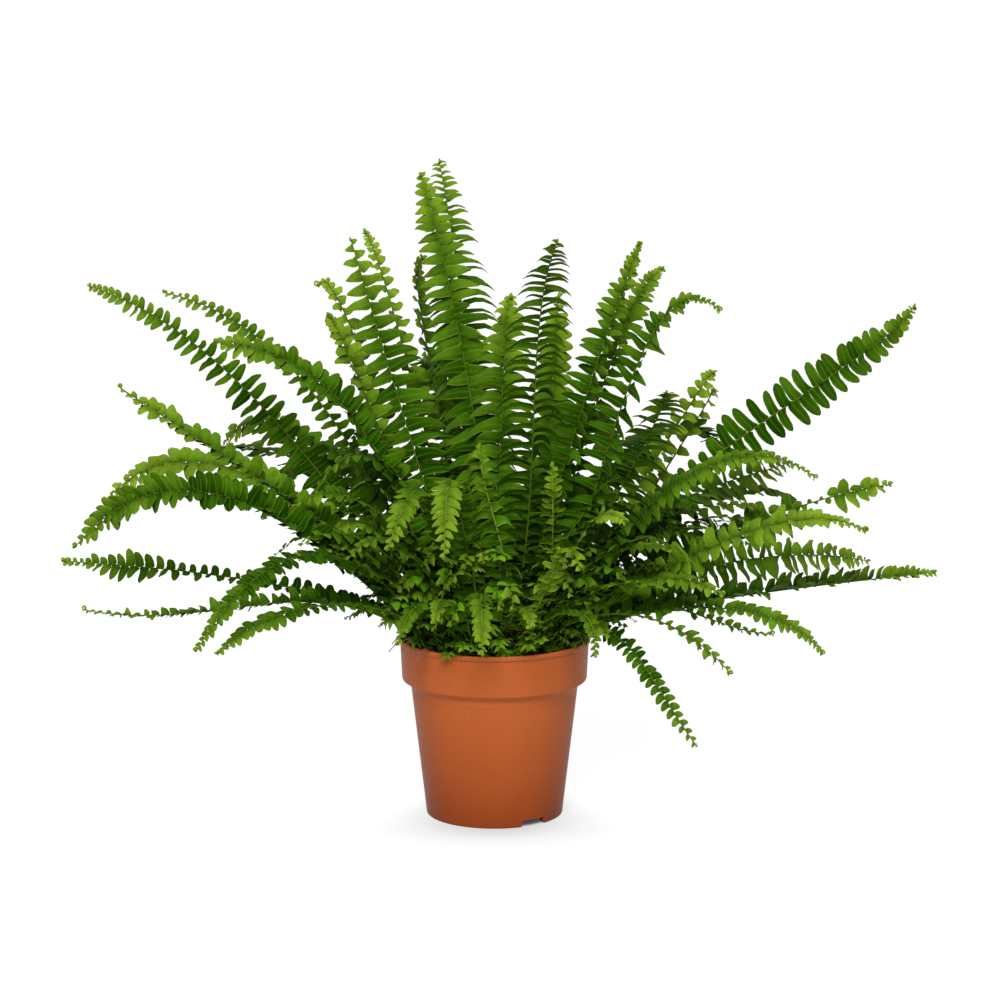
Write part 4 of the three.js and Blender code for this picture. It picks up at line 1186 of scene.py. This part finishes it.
def make_leafy(name, shapes, material):
    """A piece from shapes of points, quads, marks and UV; a mark that a shape lacks is 0."""
    all_points, all_quads, all_marks, all_uv = zip(*shapes)
    counts = [len(points) for points in all_points]
    starts = np.cumsum([0, *counts])
    faces = np.concatenate([quads + start for quads, start in zip(all_quads, starts)])
    marks = {
        mark: np.concatenate([
            given.get(mark, 0) * np.ones(count) for given, count in zip(all_marks, counts)
        ])
        for mark in ("tone", "age", "under", "rib", "woody")
    }
    points, uv = np.concatenate(all_points), np.concatenate(all_uv)
    piece = make_piece(name, points, faces.tolist(), material, marks, uv)
    piece.data.set_sharp_from_angle(angle=math.radians(LEAF_CREASE))
    return piece


def make_clump(name, count, arc, circle, rises, reaches, pair_counts, lengths, look, material, rng):
    """A clump of small fronds, which rise from the peat within an arc, in degrees, of a circle
    about the pot's middle and arch outwards; low ones stay inside the rim."""
    shapes = []
    for _ in range(count):
        turn, out = math.radians(rng.uniform(*arc)), circle * math.sqrt(rng.uniform(0.05, 1))
        foot = np.array([out * math.cos(turn), out * math.sin(turn), 0])
        foot[2] = peat_height(foot[0], foot[1]) + FOOT_RISE
        turn += rng.normal(0, 0.4)
        heading = np.array([math.cos(turn), math.sin(turn), 0])
        rise, reach = rng.uniform(*rises), rng.uniform(*reaches)
        reach = min(reach, INSIDE_RIM - out) if rise < LOW_RISE else reach
        third = foot + heading * reach * 0.22 + UP * rise * 0.55
        second = foot + heading * reach * 0.60 + UP * rise * 0.95
        tip = foot + heading * reach + UP * rise * rng.uniform(0.65, 1.05)
        rib = Rib(foot, third, second, tip, rng.uniform(-30, 30), rng.uniform(-30, 30))
        young, length = 0.6 * rng.uniform(0.1, 1.0) ** 1.5, rng.uniform(*lengths)
        pairs = int(rng.integers(*pair_counts))
        shapes += [
            leaflet_rings(
                rib, length, pairs, SPRIG_FOLD, young, SPRIG_SLIM, look, rng, SPRIG_STEPS,
            ),
            rib_rings(rib, young, SPRIG_PALE, SPRIG_THICKNESS, steps=12, coil_steps=6),
        ]
    piece = make_leafy(name, shapes, material)
    stand_for(piece, slot="young_frond")


# Room, in metres from here on but for the floor's own mesh

FLOOR_RADIUS = 40000
FLOOR_DEPTH = 20
FLOOR_GREYS = ((0.115, 0.115, 0.115), (0.125, 0.125, 0.125))
FLOOR_LIGHT = 0.93
# Painted shadow: the floor's glow, by its share of the way out across this reach from the pot's
# axis, is dimmed round and under the pot's foot.
PAINTED_SHADOW_REACH = (0.020, 0.200)
FLOOR_GLOW_PAINTED_SHADOW = [
    (0.033, 0.02), (0.100, 0.08), (0.130, 0.46), (0.20, 0.60), (0.253, 0.70), (0.333, 0.775),
    (0.444, 0.85), (0.556, 0.925), (0.689, 1),
]
WORLD_LIGHT = 0.44
KEY_PLACE = (-0.2, -2.5, 2.4)
KEY_AIM = (0, 0, 0.2)
KEY_SIZE = 1.8
KEY_POWER = 258
CAMERA_AIM = (0.0035, 0.0, 0.2027)
CAMERA_DISTANCE = 2.210
CAMERA_PITCH = 10.5
CAMERA_LENS = 126
CAMERA_SENSOR = 36
CAMERA_END = 200
WHITE = (1.0, 1.0, 1.0)


def floor_finish():
    """A matt white sweep that glows, and so stays white, but for a painted soft shadow round and
    under the pot's foot.
    """
    f = Finish("white_sweep")
    x, y, _ = f.axes()
    away = ((x * x + y * y) ** 0.5).rise(*PAINTED_SHADOW_REACH)
    glow = f.ramp(away, [(place, (level,) * 3) for place, level in FLOOR_GLOW_PAINTED_SHADOW])
    # The painted shadow is faded out behind the pot.
    glow = f.mix(away.rise(0.10, 0.13) * y.rise(-0.05, 0.04) * 0.85, glow, WHITE)
    f.set(Base_Color=f.mix(f.noise(3.0, 2.0), *FLOOR_GREYS), Roughness=0.9)
    f.feed(f.shader.inputs["Emission Color"], glow)
    f.feed(f.shader.inputs["Emission Strength"], FLOOR_LIGHT)
    return f.material


def softbox(name, place, aim, size, power):
    """A round area lamp at a place, turned to its aim."""
    lamp = bpy.data.lights.new(name, "AREA")
    lamp.shape = "DISK"
    lamp.size, lamp.energy = size, power
    box = bpy.data.objects.new(name, lamp)
    bpy.context.scene.collection.objects.link(box)
    box.location = place
    turn_to(box, aim)


def turn_to(thing, aim):
    """Turns a lamp or a camera, which looks down its own -Z axis, to its aim, with no roll."""
    x, y, z = np.array(aim, float) - np.array(thing.location)
    rise, heading = math.atan2(z, math.hypot(x, y)), math.atan2(y, x)
    thing.rotation_euler = (math.pi / 2 + rise, 0, heading - math.pi / 2)


def make_camera():
    """The photo's camera: a long lens a little above the plant, looking slightly down."""
    lens = bpy.data.cameras.new("photo_camera")
    lens.lens, lens.sensor_width = CAMERA_LENS, CAMERA_SENSOR
    lens.clip_end = CAMERA_END
    camera = bpy.data.objects.new("photo_camera", lens)
    bpy.context.scene.collection.objects.link(camera)
    aim, pitch = np.array(CAMERA_AIM), math.radians(CAMERA_PITCH)
    camera.location = aim + CAMERA_DISTANCE * np.array([0, -math.cos(pitch), math.sin(pitch)])
    turn_to(camera, aim)
    bpy.context.scene.camera = camera


def make_room():
    """The white sweep, the white surround, one large softbox and the camera."""
    turn = np.linspace(0, 2 * np.pi, 96, endpoint=False)
    ring = FLOOR_RADIUS * np.column_stack([np.cos(turn), np.sin(turn)])
    floor = make_piece("floor", *prism(ring, -FLOOR_DEPTH, 0), floor_finish())
    scene = bpy.context.scene
    world = bpy.data.worlds.new("studio")
    world.use_nodes = True
    background = world.node_tree.nodes["Background"]
    background.inputs["Color"].default_value = (*WHITE, 1.0)
    background.inputs["Strength"].default_value = WORLD_LIGHT
    scene.world = world
    softbox("key", KEY_PLACE, KEY_AIM, KEY_SIZE, KEY_POWER)
    scene.view_settings.view_transform = "Standard"
    scene.view_settings.look = "None"
    make_camera()


make_pot()
make_peat(np.random.default_rng(3))
make_rhizome(np.random.default_rng(5))
leaf_material = frond_finish()
for place_number, (place_name, rows) in enumerate(FRONDS.items()):
    for row_number, frond_row in enumerate(rows, 1):
        make_frond(
            f"frond_{place_name}_{row_number}", frond_row, leaf_material,
            np.random.default_rng(100 * place_number + row_number),
        )
for clump_number, (clump_name, clump) in enumerate(CLUMPS.items()):
    make_clump(clump_name, *clump, leaf_material, np.random.default_rng(500 + clump_number))
make_room()
